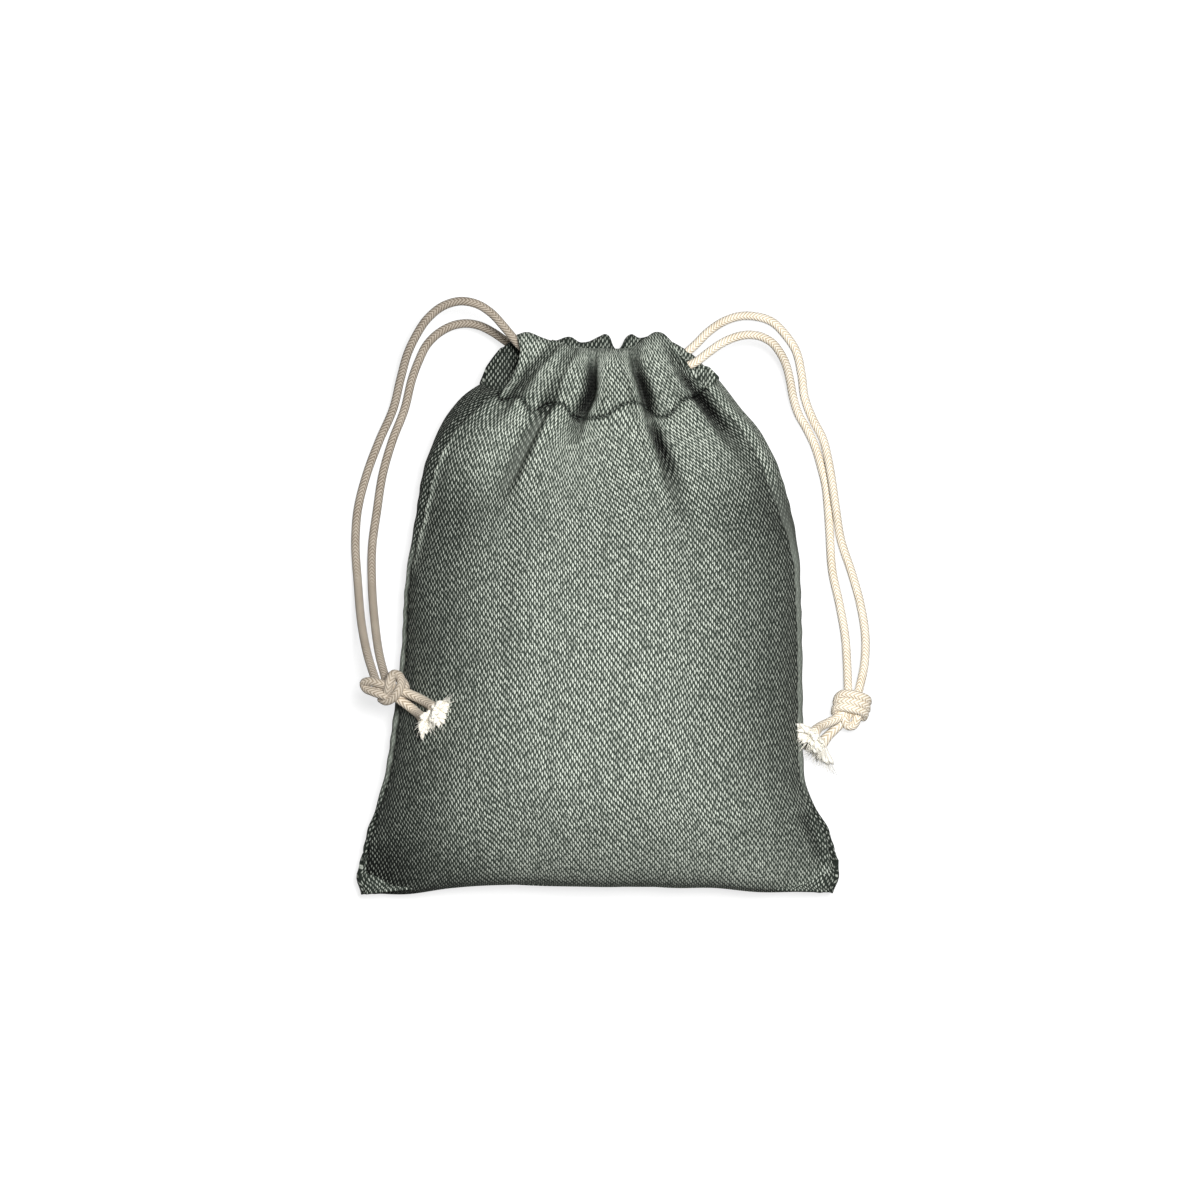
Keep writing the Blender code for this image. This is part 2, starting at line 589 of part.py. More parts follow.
def build():
    clear_scene()
    pouch = bpy.data.objects.new("pouch_frame", None)
    bpy.context.scene.collection.objects.link(pouch)
    centre_v = (BODY_LENGTH + CASING_HEIGHT) / 2
    pouch.location = (0.0, -centre_v, 0.0)

    add_panel("front_panel", front_height, FRONT_COLUMNS, pouch, flip=True)
    add_panel("back_panel", back_height, BACK_COLUMNS, pouch, flip=False)
    add_casing("front_casing", front_height, FRONT_LANE_Z, 1, FRONT_COLUMNS, pouch)
    add_casing("back_casing", back_height, BACK_LANE_Z, -1, BACK_COLUMNS, pouch)
    add_side_overlock("left_seam_overlock", -1, pouch)
    add_side_overlock("right_seam_overlock", 1, pouch)
    add_bottom_overlock("bottom_seam_overlock", pouch)
    add_stitching("front_casing_stitching", front_height, 1, FRONT_COLUMNS, pouch)
    add_stitching("back_casing_stitching", back_height, -1, BACK_COLUMNS, pouch)

    left_v = lane_height(LEFT_LANE_DROP)
    right_v = lane_height(LEFT_LANE_DROP + LANE_SPACING)
    add_crossing("left_cord_crossing", left_v, 1, pouch)
    add_crossing("right_cord_crossing", right_v, -1, pouch)

    left_cord = bpy.data.objects.new("left_drawcord_frame", None)
    right_cord = bpy.data.objects.new("right_drawcord_frame", None)
    for frame in (left_cord, right_cord):
        bpy.context.scene.collection.objects.link(frame)
    left = (LEFT_KNOT, LEFT_KNOT_HALF, left_cord)
    right = (RIGHT_KNOT, RIGHT_KNOT_HALF, right_cord)
    add_strand("left_cord_front_strand", LEFT_FRONT_ROUTE, left_v, FRONT_LANE_Z, centre_v, -1, *left)
    add_strand("left_cord_back_strand", LEFT_BACK_ROUTE, left_v, BACK_LANE_Z, centre_v, -1, *left)
    add_strand("right_cord_front_strand", RIGHT_FRONT_ROUTE, right_v, FRONT_LANE_Z, centre_v, 1, *right)
    add_strand("right_cord_back_strand", RIGHT_BACK_ROUTE, right_v, BACK_LANE_Z, centre_v, 1, *right)
    add_knot("left_cord_knot", *left)
    add_knot("right_cord_knot", *right)
    add_tail_on_front("left_cord_upper_tail", LEFT_UPPER_TAIL, centre_v, *left)
    add_tail_on_front("left_cord_lower_tail", LEFT_LOWER_TAIL, centre_v, *left)
    add_tail("right_cord_upper_tail", RIGHT_UPPER_TAIL, *right)
    add_tail("right_cord_lower_tail", RIGHT_LOWER_TAIL, *right)


build()
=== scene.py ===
"""Looks for a drawstring treat pouch in woven cotton, filled and lying on its back, with knotted drawcords.

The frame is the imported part's: X to the right, Y to the mouth, Z up out of the front, in metres.
Shapes below are worked out in millimetres and put into the meshes in metres.
"""

import math

import bmesh
import bpy
import numpy as np
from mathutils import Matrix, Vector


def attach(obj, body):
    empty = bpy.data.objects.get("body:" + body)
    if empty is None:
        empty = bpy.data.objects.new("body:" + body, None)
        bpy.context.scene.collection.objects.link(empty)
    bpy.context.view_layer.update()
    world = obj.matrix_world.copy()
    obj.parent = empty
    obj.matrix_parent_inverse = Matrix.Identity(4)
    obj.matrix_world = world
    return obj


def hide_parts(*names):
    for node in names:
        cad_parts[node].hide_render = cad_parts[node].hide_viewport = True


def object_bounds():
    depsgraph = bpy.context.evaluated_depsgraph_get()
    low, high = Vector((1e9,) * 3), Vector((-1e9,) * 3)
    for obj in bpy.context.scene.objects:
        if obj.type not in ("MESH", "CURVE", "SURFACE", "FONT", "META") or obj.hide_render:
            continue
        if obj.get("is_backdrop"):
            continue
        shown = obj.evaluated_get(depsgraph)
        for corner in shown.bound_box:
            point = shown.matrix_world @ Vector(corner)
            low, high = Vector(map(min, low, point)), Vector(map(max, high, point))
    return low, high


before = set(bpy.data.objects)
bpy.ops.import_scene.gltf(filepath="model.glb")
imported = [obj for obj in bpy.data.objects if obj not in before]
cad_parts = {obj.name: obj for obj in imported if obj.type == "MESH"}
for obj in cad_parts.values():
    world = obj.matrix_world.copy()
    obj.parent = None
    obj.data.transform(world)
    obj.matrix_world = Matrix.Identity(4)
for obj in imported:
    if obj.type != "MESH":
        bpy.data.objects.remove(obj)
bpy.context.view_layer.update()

# Studio
# A pale sweep of paper under a soft overhead lamp, a little to the right of the pouch and towards its mouth.
# The paper shows white to the camera, keeps the pouch's shadow, and throws little light back up at its sides.

MM = 0.001


def linear(colour):
    """An sRGB hex colour as linear red, green, blue and alpha."""
    parts = np.array([int(colour[i : i + 2], 16) for i in (1, 3, 5)]) / 255
    parts = np.where(parts <= 0.04045, parts / 12.92, ((parts + 0.055) / 1.055) ** 2.4)
    return (*parts.tolist(), 1.0)


def add(tree, kind, sockets=None, **settings):
    """Adds a node: settings are its own values, sockets its inputs, each a number, a colour or a link."""
    made = tree.nodes.new(kind)
    for name, value in settings.items():
        setattr(made, name, value)
    for name, value in (sockets or {}).items():
        if isinstance(value, bpy.types.NodeSocket):
            tree.links.new(value, made.inputs[name])
        else:
            made.inputs[name].default_value = value
    return made


def place(name, data, *materials):
    """Puts a mesh into the scene at the origin, with its materials."""
    obj = bpy.data.objects.new(name, data)
    bpy.context.scene.collection.objects.link(obj)
    for material in materials:
        data.materials.append(material)
    return obj


scene = bpy.context.scene
scene.view_settings.view_transform = "Standard"

floor_mesh = bpy.data.meshes.new("paper_floor")
half_floor = 3.0
floor_z = -0.3 * MM
floor_mesh.from_pydata(
    [(-half_floor, -half_floor, floor_z), (half_floor, -half_floor, floor_z),
     (half_floor, half_floor, floor_z), (-half_floor, half_floor, floor_z)],
    [], [(0, 1, 2, 3)],
)
paper = bpy.data.materials.new("white_paper")
paper.use_nodes = True
tree = paper.node_tree
tree.nodes.clear()
ray = add(tree, "ShaderNodeLightPath").outputs
seen = add(tree, "ShaderNodeMath", {0: ray["Is Camera Ray"], 1: ray["Is Glossy Ray"]}, operation="MAXIMUM")
seen = add(tree, "ShaderNodeMath", {0: seen.outputs[0], 1: ray["Is Transmission Ray"]}, operation="MAXIMUM")
bounce = add(tree, "ShaderNodeBsdfDiffuse", {"Color": linear("#5A5A59")}).outputs[0]
shadowed = add(tree, "ShaderNodeBsdfDiffuse", {"Color": linear("#949494")}).outputs[0]
glow = add(tree, "ShaderNodeEmission", {"Color": linear("#FFFFFF"), "Strength": 0.78}).outputs[0]
shown = add(tree, "ShaderNodeAddShader", {0: shadowed, 1: glow}).outputs[0]
mixed = add(tree, "ShaderNodeMixShader", {0: seen.outputs[0], 1: bounce, 2: shown}).outputs[0]
add(tree, "ShaderNodeOutputMaterial", {"Surface": mixed})
place("paper_floor", floor_mesh, paper)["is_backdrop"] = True

world = bpy.data.worlds.new("studio")
scene.world = world
world.use_nodes = True
tree = world.node_tree
tree.nodes.clear()
ray = add(tree, "ShaderNodeLightPath").outputs
strength = add(
    tree, "ShaderNodeMapRange", {0: ray["Is Camera Ray"], 3: 0.06, 4: 1.0}, clamp=True
).outputs[0]
white = add(tree, "ShaderNodeBackground", {"Color": linear("#FFFFFF"), "Strength": strength}).outputs[0]
add(tree, "ShaderNodeOutputWorld", {"Surface": white})

lamps = (
    # name, place, size and power
    ("overhead_softbox", (0.18, 0.18, 1.45), 0.40, 28.5),
)
for name, spot, size, power in lamps:
    lamp = bpy.data.lights.new(name, "AREA")
    lamp.shape = "DISK"
    lamp.size = size
    lamp.energy = power
    obj = bpy.data.objects.new(name, lamp)
    scene.collection.objects.link(obj)
    obj.location = spot
    towards = np.array((0.0, 0.0, 0.03)) - np.array(spot)
    pitch = math.acos(-towards[2] / np.linalg.norm(towards))
    obj.rotation_euler = (pitch, 0.0, math.atan2(-towards[0], towards[1]))

# The camera looks straight down. 376 mm of the table fill the picture's width at the height of the pouch's edge.
picture_width = 376.0 * MM
lens = 200.0
camera_data = bpy.data.cameras.new("camera")
camera_data.lens = lens
camera_data.sensor_width = 36.0
camera = bpy.data.objects.new("camera", camera_data)
scene.collection.objects.link(camera)
camera.location = (0.8 * MM, 4.4 * MM, picture_width * lens / camera_data.sensor_width + 15.0 * MM)
scene.camera = camera

# Front of the pouch
# One piece of plain-woven cotton, sewn to the back along both sides and the bottom. The filling crowns it,
# and the drawcords gather its top into deep folds that run out over the body.


def through(places, values, at):
    """A cubic through stations, its slope at each taken from the two beside it."""
    places = np.asarray(places, float)
    values = np.asarray(values, float)
    slopes = np.gradient(values, places)
    at = np.clip(at, places[0], places[-1])
    i = np.clip(np.searchsorted(places, at) - 1, 0, len(places) - 2)
    step = places[i + 1] - places[i]
    f = (at - places[i]) / step
    start = values[i] * (1 + 2 * f) * (1 - f) ** 2 + slopes[i] * step * f * (1 - f) ** 2
    end = values[i + 1] * f**2 * (3 - 2 * f) + slopes[i + 1] * step * f**2 * (f - 1)
    return start + end


def smooth_step(x):
    """0 to 1 with level ends."""
    x = np.clip(x, 0.0, 1.0)
    return x * x * (3.0 - 2.0 * x)


def round_in(x):
    """0 to 1 along a quarter circle, upright where it starts and level where it ends."""
    return np.sqrt(1.0 - (1.0 - np.clip(x, 0.0, 1.0)) ** 2)


# Outline seen from above: height along the pouch, then the left and the right edge
left_outline = np.array([
    (-88.0, -73.4), (-83.4, -74.6), (-78.7, -74.1), (-69.3, -72.2), (-59.9, -69.2), (-50.5, -66.8),
    (-31.7, -64.0), (-12.0, -61.6), (10.7, -60.2), (29.5, -57.2), (48.3, -53.6), (57.7, -49.7),
    (64.0, -46.0), (68.0, -42.4), (70.5, -39.3), (72.9, -35.4),
])
right_outline = np.array([
    (-88.0, 73.0), (-83.4, 74.6), (-78.7, 75.0), (-74.0, 74.3), (-69.3, 72.8), (-64.6, 70.6),
    (-59.9, 67.8), (-55.2, 65.8), (-48.0, 64.8), (-31.7, 64.5), (1.3, 64.0), (20.1, 63.0),
    (38.9, 59.0), (48.3, 55.8), (57.7, 50.6), (64.6, 44.9), (68.6, 41.7), (72.4, 38.9), (74.3, 37.0),
])
# How far the side seams lie inside the outline, where the back wraps round to the front
left_seam_inset = np.array([
    (-88.0, 0.5), (-60.0, 1.8), (-30.0, 2.2), (0.0, 1.8), (20.0, 2.0), (37.0, 3.2), (53.0, 4.2), (60.0, 5.6), (70.0, 9.6),
])
right_seam_inset = np.array([(-88.0, 0.5), (-50.0, 1.8), (0.0, 2.0), (20.0, 2.6), (34.0, 4.4), (60.0, 5.2), (71.5, 5.3)])
bottom_line = np.array([
    (-74.0, -87.9), (-60.0, -88.0), (-46.0, -86.2), (-32.0, -84.6), (-12.0, -85.2), (32.0, -85.8), (60.0, -87.4), (74.0, -87.6),
])
# The casing's stitch line on the front, pulled down between the lobes
stitch_line = np.array([
    (-31.5, 70.2), (-28.4, 68.0), (-26.5, 67.1), (-23.4, 68.2), (-20.2, 66.6), (-17.7, 64.6), (-15.5, 62.8),
    (-13.3, 65.0), (-8.3, 65.2), (-4.2, 61.4), (0.2, 61.0), (3.9, 62.2), (6.2, 64.4), (13.3, 65.0),
    (16.8, 61.2), (19.3, 62.5), (23.7, 66.4), (28.1, 68.2), (34.3, 71.5),
])
body_length = 152.0
crown_top = 57.6
neck_top = 28.0
seam_level = 17.0
ear_reach = 20.0
ear_droop = 10.0
ear_flatness = 0.85


def edges(y):
    """The outline's left and right edge at a height along the pouch."""
    return through(*left_outline.T, y), through(*right_outline.T, y)


def seams(y):
    """Where the left and the right seam lie at a height along the pouch."""
    left, right = edges(y)
    return left + through(*left_seam_inset.T, y), right - through(*right_seam_inset.T, y)


def ear(s, y):
    """1 at the two flat bottom corners, fading to 0 away from them."""
    across = (1 - np.abs(s)) * 72.0
    return np.exp(-(across**2 + (y + 88.0) ** 2) / ear_reach**2)


def seam_height(s, y):
    """The side seam's height off the table, lower at the ears and higher at the neck."""
    return seam_level - ear_droop * ear(s, y) + 4.0 * smooth_step((y - 35.0) / 35.0)


# Fold valleys: which side is steep, then stations of height along, place across, depth, gentle and steep width and
# how much shade is painted on the cloth down there
valleys = (
    (1, ((90.0, -10.0, 1.6, 2.2, 0.9, 0.10), (84.0, -12.8, 2.6, 2.4, 0.9, 0.15), (80.0, -15.8, 3.4, 2.6, 0.8, 0.25),
         (76.0, -19.8, 3.2, 2.6, 1.0, 0.46), (72.0, -22.4, 3.4, 2.6, 1.0, 0.52), (68.0, -26.0, 3.4, 2.6, 1.0, 0.46),
         (64.5, -29.0, 2.4, 3.0, 1.4, 0.10), (58.0, -33.0, 0.0, 4.5, 2.0, 0.0))),
    (1, ((90.0, -4.2, 1.2, 2.0, 0.9, 0.0), (84.0, -6.0, 1.6, 2.2, 0.9, 0.10), (80.0, -8.4, 2.6, 2.2, 0.8, 0.20),
         (76.0, -10.6, 1.6, 2.4, 0.8, 0.0), (72.0, -12.4, 2.2, 2.6, 0.8, 0.05), (68.0, -13.8, 3.6, 2.6, 0.8, 0.12),
         (64.0, -15.2, 7.0, 2.8, 0.8, 0.40), (60.0, -17.6, 3.6, 3.2, 0.9, 0.10), (56.0, -19.6, 4.8, 3.4, 1.0, 0.12),
         (50.0, -22.6, 4.6, 4.0, 1.2, 0.12), (44.0, -25.4, 4.0, 4.2, 1.4, 0.14), (38.0, -28.6, 1.8, 5.0, 2.0, 0.04),
         (30.0, -31.6, 0.0, 6.5, 3.0, 0.0))),
    (1, ((90.0, 0.2, 0.8, 1.6, 0.8, 0.0), (80.5, -0.8, 1.2, 1.8, 0.7, 0.0), (77.0, -1.0, 4.6, 2.0, 0.7, 0.30),
         (72.0, -1.0, 10.0, 2.4, 0.7, 0.80), (68.0, -1.4, 11.0, 2.8, 0.7, 0.90), (64.0, -3.2, 9.5, 3.2, 0.8, 0.70),
         (60.5, -4.9, 4.6, 3.0, 0.9, 0.34), (57.0, -5.8, 2.6, 2.8, 1.1, 0.20), (52.5, -7.4, 0.0, 3.0, 2.0, 0.0))),
    (-1, ((90.0, 8.2, 0.8, 2.0, 0.8, 0.0), (81.2, 10.8, 2.4, 2.0, 0.7, 0.15), (76.5, 11.5, 6.0, 2.2, 0.7, 0.40),
          (72.0, 13.0, 10.0, 2.4, 0.7, 0.85), (68.0, 14.2, 10.5, 2.6, 0.7, 0.85), (64.0, 15.2, 8.0, 2.6, 0.8, 0.60),
          (60.3, 16.3, 2.8, 1.7, 0.8, 0.05), (56.0, 17.4, 7.6, 2.4, 0.8, 0.75), (52.0, 18.8, 8.4, 2.6, 0.8, 0.85),
          (48.0, 20.3, 6.6, 3.0, 0.9, 0.55), (43.0, 21.9, 4.4, 3.4, 1.2, 0.30), (38.0, 23.6, 2.2, 4.2, 1.8, 0.08),
          (28.0, 26.4, 0.0, 6.0, 3.0, 0.0))),
    (-1, ((90.0, 18.6, 0.8, 2.2, 0.9, 0.0), (80.0, 23.2, 2.2, 2.4, 0.9, 0.20), (76.0, 25.2, 4.2, 2.6, 0.8, 0.40),
          (72.0, 27.5, 6.6, 2.8, 0.8, 0.70), (68.0, 30.4, 8.0, 3.0, 0.8, 0.90), (64.0, 33.4, 7.4, 3.2, 0.9, 0.92),
          (60.0, 36.4, 5.2, 3.6, 1.1, 0.58), (56.0, 39.6, 3.4, 4.2, 1.6, 0.26), (50.0, 44.4, 1.4, 5.0, 2.2, 0.0),
          (43.0, 49.0, 0.0, 7.0, 3.0, 0.0))),
)


def valley_depth(x, y):
    """How far the gathers sink below the smooth cloth, seen from above, and how much shade is painted in them, from 0
    to 1.

    Each valley is a bell across its line, gentle on one side and steep on the other, with a low crest past the steep
    side. Its painted shade is a narrower bell on the gentle side, cut off at the steep one. All run out short of the
    seams.
    """
    sunk, dark = np.zeros_like(x), np.zeros_like(x)
    left, right = seams(np.minimum(y, 66.0))
    inside = smooth_step(np.minimum(x - left, right - x) / 5.0)
    for steep_side, stations in valleys:
        at, across, depth, gentle, steep, shade = np.array(stations[::-1]).T
        d = (x - through(at, across, y)) * steep_side
        gentle = np.interp(y, at, gentle)
        width = np.where(d > 0, np.interp(y, at, steep), gentle)
        crest = 0.22 * np.exp(-(((d - 2.6) / 1.7) ** 2))
        sunk += np.interp(y, at, depth) * (np.exp(-((d / width) ** 2)) - crest)
        dark += np.interp(y, at, shade) * np.exp(-((d / gentle + 0.4) ** 2 / 0.36)) * smooth_step((0.9 - d) / 0.8)
    return sunk * inside, dark * inside


def rubbed(s, y, sunk, dark):
    """How much light or shade is painted on the cloth, 1 in the middle of the front.

    Painted light brightens the crown, the shoulders, the bottom edge and the lower right side most. Painted shade
    darkens the flanks, and the folds still more.
    """
    side = np.interp(np.abs(s), (0.0, 0.35, 0.63, 0.87, 1.0), (1.0, 0.98, 0.80, 0.56, 0.46))
    side = side + (1.04 - side) * smooth_step((y - 28.0) / 24.0) * smooth_step((1.0 - np.abs(s)) / 0.35)
    side = side + 0.33 * smooth_step((-66.0 - y) / 17.0) * smooth_step((s + 0.60) / 0.35)
    side = side + 0.17 * smooth_step((-25.0 - y) / 35.0) * smooth_step((s - 0.2) / 0.5)
    side = side - 0.20 * smooth_step((-68.0 - y) / 12.0) * smooth_step((-0.4 - s) / 0.25)
    side = side - 0.18 * np.exp(-(((y - 30.0) / 12.0) ** 2)) * smooth_step((np.abs(s) - 0.5) / 0.3)
    side = side - (0.10 * smooth_step((-38.0 - y) / 20.0) + 0.3 * ear(s, y)) * smooth_step((-0.6 - s) / 0.3)
    return side * (0.35 + 0.65 * np.exp(-np.maximum(sunk, 0) / 4.0)) - 0.95 * dark


def weave_shift(x, y):
    """How far the gathers carry the warp ends sideways: each lobe takes its own ends along between its two valleys.

    The ends between two lobes are hidden in the valley, so the shift changes quickly across the valley's line.
    """
    low, high = edges(np.full_like(y, 12.0)), edges(np.clip(y, 12.0, 74.0))
    drifts, lines, spans = [high[0] - low[0]], [], []
    for _, stations in valleys:
        at, across, depth = np.array(stations[::-1]).T[:3]
        line = through(at, across, y)
        lines.append(line)
        drifts.append(line - across[0])
        spans.append(np.interp(np.interp(y, at, depth), (0.0, 5.0), (7.0, 1.6)))
    drifts.append(high[1] - low[1])
    lobes = [(a + b) / 2 for a, b in zip(drifts[:-1], drifts[1:])]
    lobes[0], lobes[-1] = 0.3 * lobes[0] + 0.7 * drifts[0], 0.3 * lobes[-1] + 0.7 * drifts[-1]
    shift = lobes[0]
    for line, span, before, after in zip(lines, spans, lobes[:-1], lobes[1:]):
        shift = shift + np.minimum(after - before, 0.0) * (0.5 + 0.5 * np.tanh((x - line) / span))
    return shift


def ripples(x, y):
    """Soft unevenness of the filled cloth, from -1 to 1: a few long waves in different directions."""
    waves = ((0.21, 0.05, 0.3), (-0.09, 0.17, 1.9), (0.12, 0.13, 4.1), (0.31, -0.11, 2.2), (-0.23, 0.27, 5.0))
    return sum(np.sin(a * x + b * y + c + 0.8 * np.sin(0.07 * x - 0.05 * y + c)) for a, b, c in waves) / len(waves)


def from_ends(points):
    """Distance along each row of a grid from the nearer of its two ends."""
    steps = np.linalg.norm(np.diff(points, axis=1), axis=2)
    along = np.concatenate([np.zeros((len(points), 1)), np.cumsum(steps, axis=1)], axis=1)
    return np.minimum(along, along[:, -1:] - along)


def normals(points):
    """Unit normals of a grid of points, rows running up and columns to the right."""
    across = np.gradient(points, axis=1)
    up = np.gradient(points, axis=0)
    made = np.cross(across, up)
    return made / np.maximum(np.linalg.norm(made, axis=2, keepdims=True), 1e-9)


def cloth_lengths(points):
    """Lengths along the cloth in millimetres: across from the middle column, and up from the middle row."""
    across = np.linalg.norm(np.diff(points, axis=1), axis=2)
    across = np.concatenate([np.zeros((len(points), 1)), np.cumsum(across, axis=1)], axis=1)
    across -= across[:, points.shape[1] // 2][:, None]
    up = np.linalg.norm(np.diff(points, axis=0), axis=2)
    up = np.concatenate([np.zeros((1, points.shape[1])), np.cumsum(up, axis=0)], axis=0)
    up -= up[len(points) // 2][None, :]
    return np.stack([across, up], axis=2)


def weld(data):
    """Joins points that lie on one another, such as those of a tube's end."""
    build = bmesh.new()
    build.from_mesh(data)
    bmesh.ops.remove_doubles(build, verts=build.verts, dist=1e-7)
    build.to_mesh(data)
    build.free()
    return data


def grid_mesh(name, points, lengths=None, flip=False, wrap=False, period=(0.0, 0.0), **fields):
    """A smooth mesh of four-sided faces over a grid of points in millimetres.

    wrap joins the last row to the first, and period is what a whole turn adds to the lengths. The lengths become a
    UV map in decimetres, and fields become point attributes.
    """
    rows, columns = points.shape[:2]
    index = np.arange(rows * columns).reshape(rows, columns)
    if wrap:
        index = np.concatenate([index, index[:1]])
    corners = [index[:-1, :-1], index[:-1, 1:], index[1:, 1:], index[1:, :-1]]
    faces = np.stack(corners[::-1] if flip else corners, axis=-1).reshape(-1, 4)
    data = bpy.data.meshes.new(name)
    data.from_pydata((points.reshape(-1, 3) * MM).tolist(), [], faces.tolist())
    if lengths is not None:
        layer = data.uv_layers.new(name="cloth")
        spots = lengths.reshape(-1, 2)[faces]
        if wrap:
            joint = faces[1 - columns :]
            spots[1 - columns :] += (joint < columns)[..., None] * np.array(period)
        layer.data.foreach_set("uv", (spots / 100.0).astype(np.float32).ravel())
    for field, values in fields.items():
        data.attributes.new(field, "FLOAT", "POINT").data.foreach_set("value", values.astype(np.float32).ravel())
    data.shade_smooth()
    return data


def woven_cotton(name, pale, dark):
    """Plain-woven cotton of two yarns: pale warp dashes over a dark weft, matte, with slubs and uneven yarn.

    The UV map is in decimetres of cloth. Each warp column carries a dash for every second weft thread, half a step
    off its neighbours, so a dash is an ellipse in the cell of a running bond, a little out of place. Light and shade
    are painted through a point attribute: where it is low, the dashes are thinner and both yarns are darker. Where the
    attribute fuzz is high, loose fibres hide the dashes.
    """
    warp_pitch, weft_pitch = 0.685, 1.05
    made = bpy.data.materials.new(name)
    made.use_nodes = True
    tree = made.node_tree
    shader = tree.nodes["Principled BSDF"]
    shader.inputs["Roughness"].default_value = 0.93
    shader.inputs["Specular IOR Level"].default_value = 0.18
    cloth = add(tree, "ShaderNodeUVMap", uv_map="cloth").outputs[0]
    wander = add(tree, "ShaderNodeTexNoise", {"Vector": cloth, "Scale": 22.0, "Detail": 2.0}).outputs["Color"]
    wander = add(tree, "ShaderNodeVectorMath", {0: wander, 1: (0.5, 0.5, 0.5)}, operation="SUBTRACT").outputs[0]
    wander = add(tree, "ShaderNodeVectorMath", {0: wander, "Scale": 0.004}, operation="SCALE").outputs[0]
    laid = add(tree, "ShaderNodeVectorMath", {0: cloth, 1: wander}).outputs[0]
    threads = add(
        tree, "ShaderNodeVectorMath", {0: laid, 1: (100 / warp_pitch, 50 / weft_pitch, 0.0)}, operation="MULTIPLY"
    ).outputs[0]
    split = add(tree, "ShaderNodeSeparateXYZ", {0: threads}).outputs
    column = add(tree, "ShaderNodeMath", {0: split[0]}, operation="FLOOR").outputs[0]
    shift = add(tree, "ShaderNodeMath", {0: column, 1: 0.5}, operation="MULTIPLY").outputs[0]
    shift = add(tree, "ShaderNodeMath", {0: shift}, operation="FRACT").outputs[0]
    step = add(tree, "ShaderNodeMath", {0: split[1], 1: shift}, operation="ADD").outputs[0]
    row = add(tree, "ShaderNodeMath", {0: step}, operation="FLOOR").outputs[0]
    cell = add(tree, "ShaderNodeCombineXYZ", {0: column, 1: row}).outputs[0]
    chance = add(tree, "ShaderNodeTexWhiteNoise", {"Vector": cell}, noise_dimensions="2D").outputs
    loose = {0: chance["Color"], 1: (0.16, 0.20, 0.0), 2: (-0.08, -0.10, 0.0)}
    loose = add(tree, "ShaderNodeVectorMath", loose, operation="MULTIPLY_ADD").outputs[0]
    across = add(tree, "ShaderNodeMath", {0: split[0]}, operation="FRACT").outputs[0]
    across = add(tree, "ShaderNodeMath", {0: across, 1: 0.5}, operation="SUBTRACT").outputs[0]
    up = add(tree, "ShaderNodeMath", {0: step}, operation="FRACT").outputs[0]
    up = add(tree, "ShaderNodeMath", {0: up, 1: 0.5}, operation="SUBTRACT").outputs[0]
    slant = add(tree, "ShaderNodeMath", {0: up, 1: 0.30, 2: across}, operation="MULTIPLY_ADD").outputs[0]
    dash = add(tree, "ShaderNodeCombineXYZ", {0: slant, 1: up}).outputs[0]
    dash = add(tree, "ShaderNodeVectorMath", {0: dash, 1: loose}).outputs[0]
    dash = add(tree, "ShaderNodeVectorMath", {0: dash, 1: (2.3, 2.5, 0.0)}, operation="MULTIPLY").outputs[0]
    away = add(tree, "ShaderNodeVectorMath", {0: dash}, operation="LENGTH").outputs["Value"]
    # This attribute carries the light and shade painted onto the cloth.
    rub = add(tree, "ShaderNodeAttribute", attribute_name="rub").outputs["Fac"]
    stout = add(tree, "ShaderNodeMath", {0: rub, 1: 0.28, 2: 0.72}, operation="MULTIPLY_ADD").outputs[0]
    away = add(tree, "ShaderNodeMath", {0: away, 1: stout}, operation="DIVIDE").outputs[0]
    crown = add(
        tree, "ShaderNodeMapRange", {0: away, 1: 1.1, 2: 0.45, 3: 0.0, 4: 1.0}, interpolation_type="SMOOTHSTEP"
    ).outputs[0]
    # Yarns differ: each dash by chance, each warp end along its length, and the weft in long dark slubs.
    ends = add(tree, "ShaderNodeVectorMath", {0: cell, 1: (0.37, 0.045, 0.0)}, operation="MULTIPLY").outputs[0]
    ends = add(tree, "ShaderNodeTexNoise", {"Vector": ends, "Scale": 1.0, "Detail": 1.0}).outputs["Fac"]
    slubs = add(tree, "ShaderNodeVectorMath", {0: cloth, 1: (34.0, 110.0, 0.0)}, operation="MULTIPLY").outputs[0]
    slubs = add(tree, "ShaderNodeTexNoise", {"Vector": slubs, "Scale": 1.0, "Detail": 2.0}).outputs["Fac"]
    slubs = add(tree, "ShaderNodeMapRange", {0: slubs, 1: 0.60, 2: 0.72, 3: 1.0, 4: 0.25}).outputs[0]
    flecks = add(tree, "ShaderNodeVectorMath", {0: cloth, 1: (150.0, 26.0, 0.0)}, operation="MULTIPLY").outputs[0]
    flecks = add(tree, "ShaderNodeTexNoise", {"Vector": flecks, "Scale": 1.0, "Detail": 1.0}).outputs["Fac"]
    flecks = add(tree, "ShaderNodeMapRange", {0: flecks, 1: 0.66, 2: 0.76, 3: 0.0, 4: 0.55}).outputs[0]
    level = add(tree, "ShaderNodeMath", {0: chance["Value"], 1: 0.70, 2: 0.22}, operation="MULTIPLY_ADD").outputs[0]
    level = add(tree, "ShaderNodeMath", {0: ends, 1: 0.60, 2: level}, operation="MULTIPLY_ADD").outputs[0]
    level = add(tree, "ShaderNodeMath", {0: level, 1: slubs}, operation="MULTIPLY").outputs[0]
    level = add(tree, "ShaderNodeMath", {0: level, 1: flecks}, operation="ADD").outputs[0]
    level = add(tree, "ShaderNodeMath", {0: level, 1: stout}, operation="MULTIPLY").outputs[0]
    share = add(tree, "ShaderNodeMath", {0: crown, 1: level}, operation="MULTIPLY", use_clamp=True).outputs[0]
    fuzz = add(tree, "ShaderNodeAttribute", attribute_name="fuzz").outputs["Fac"]
    share = add(tree, "ShaderNodeMix", {0: fuzz, 2: share, 3: 0.26}).outputs[0]
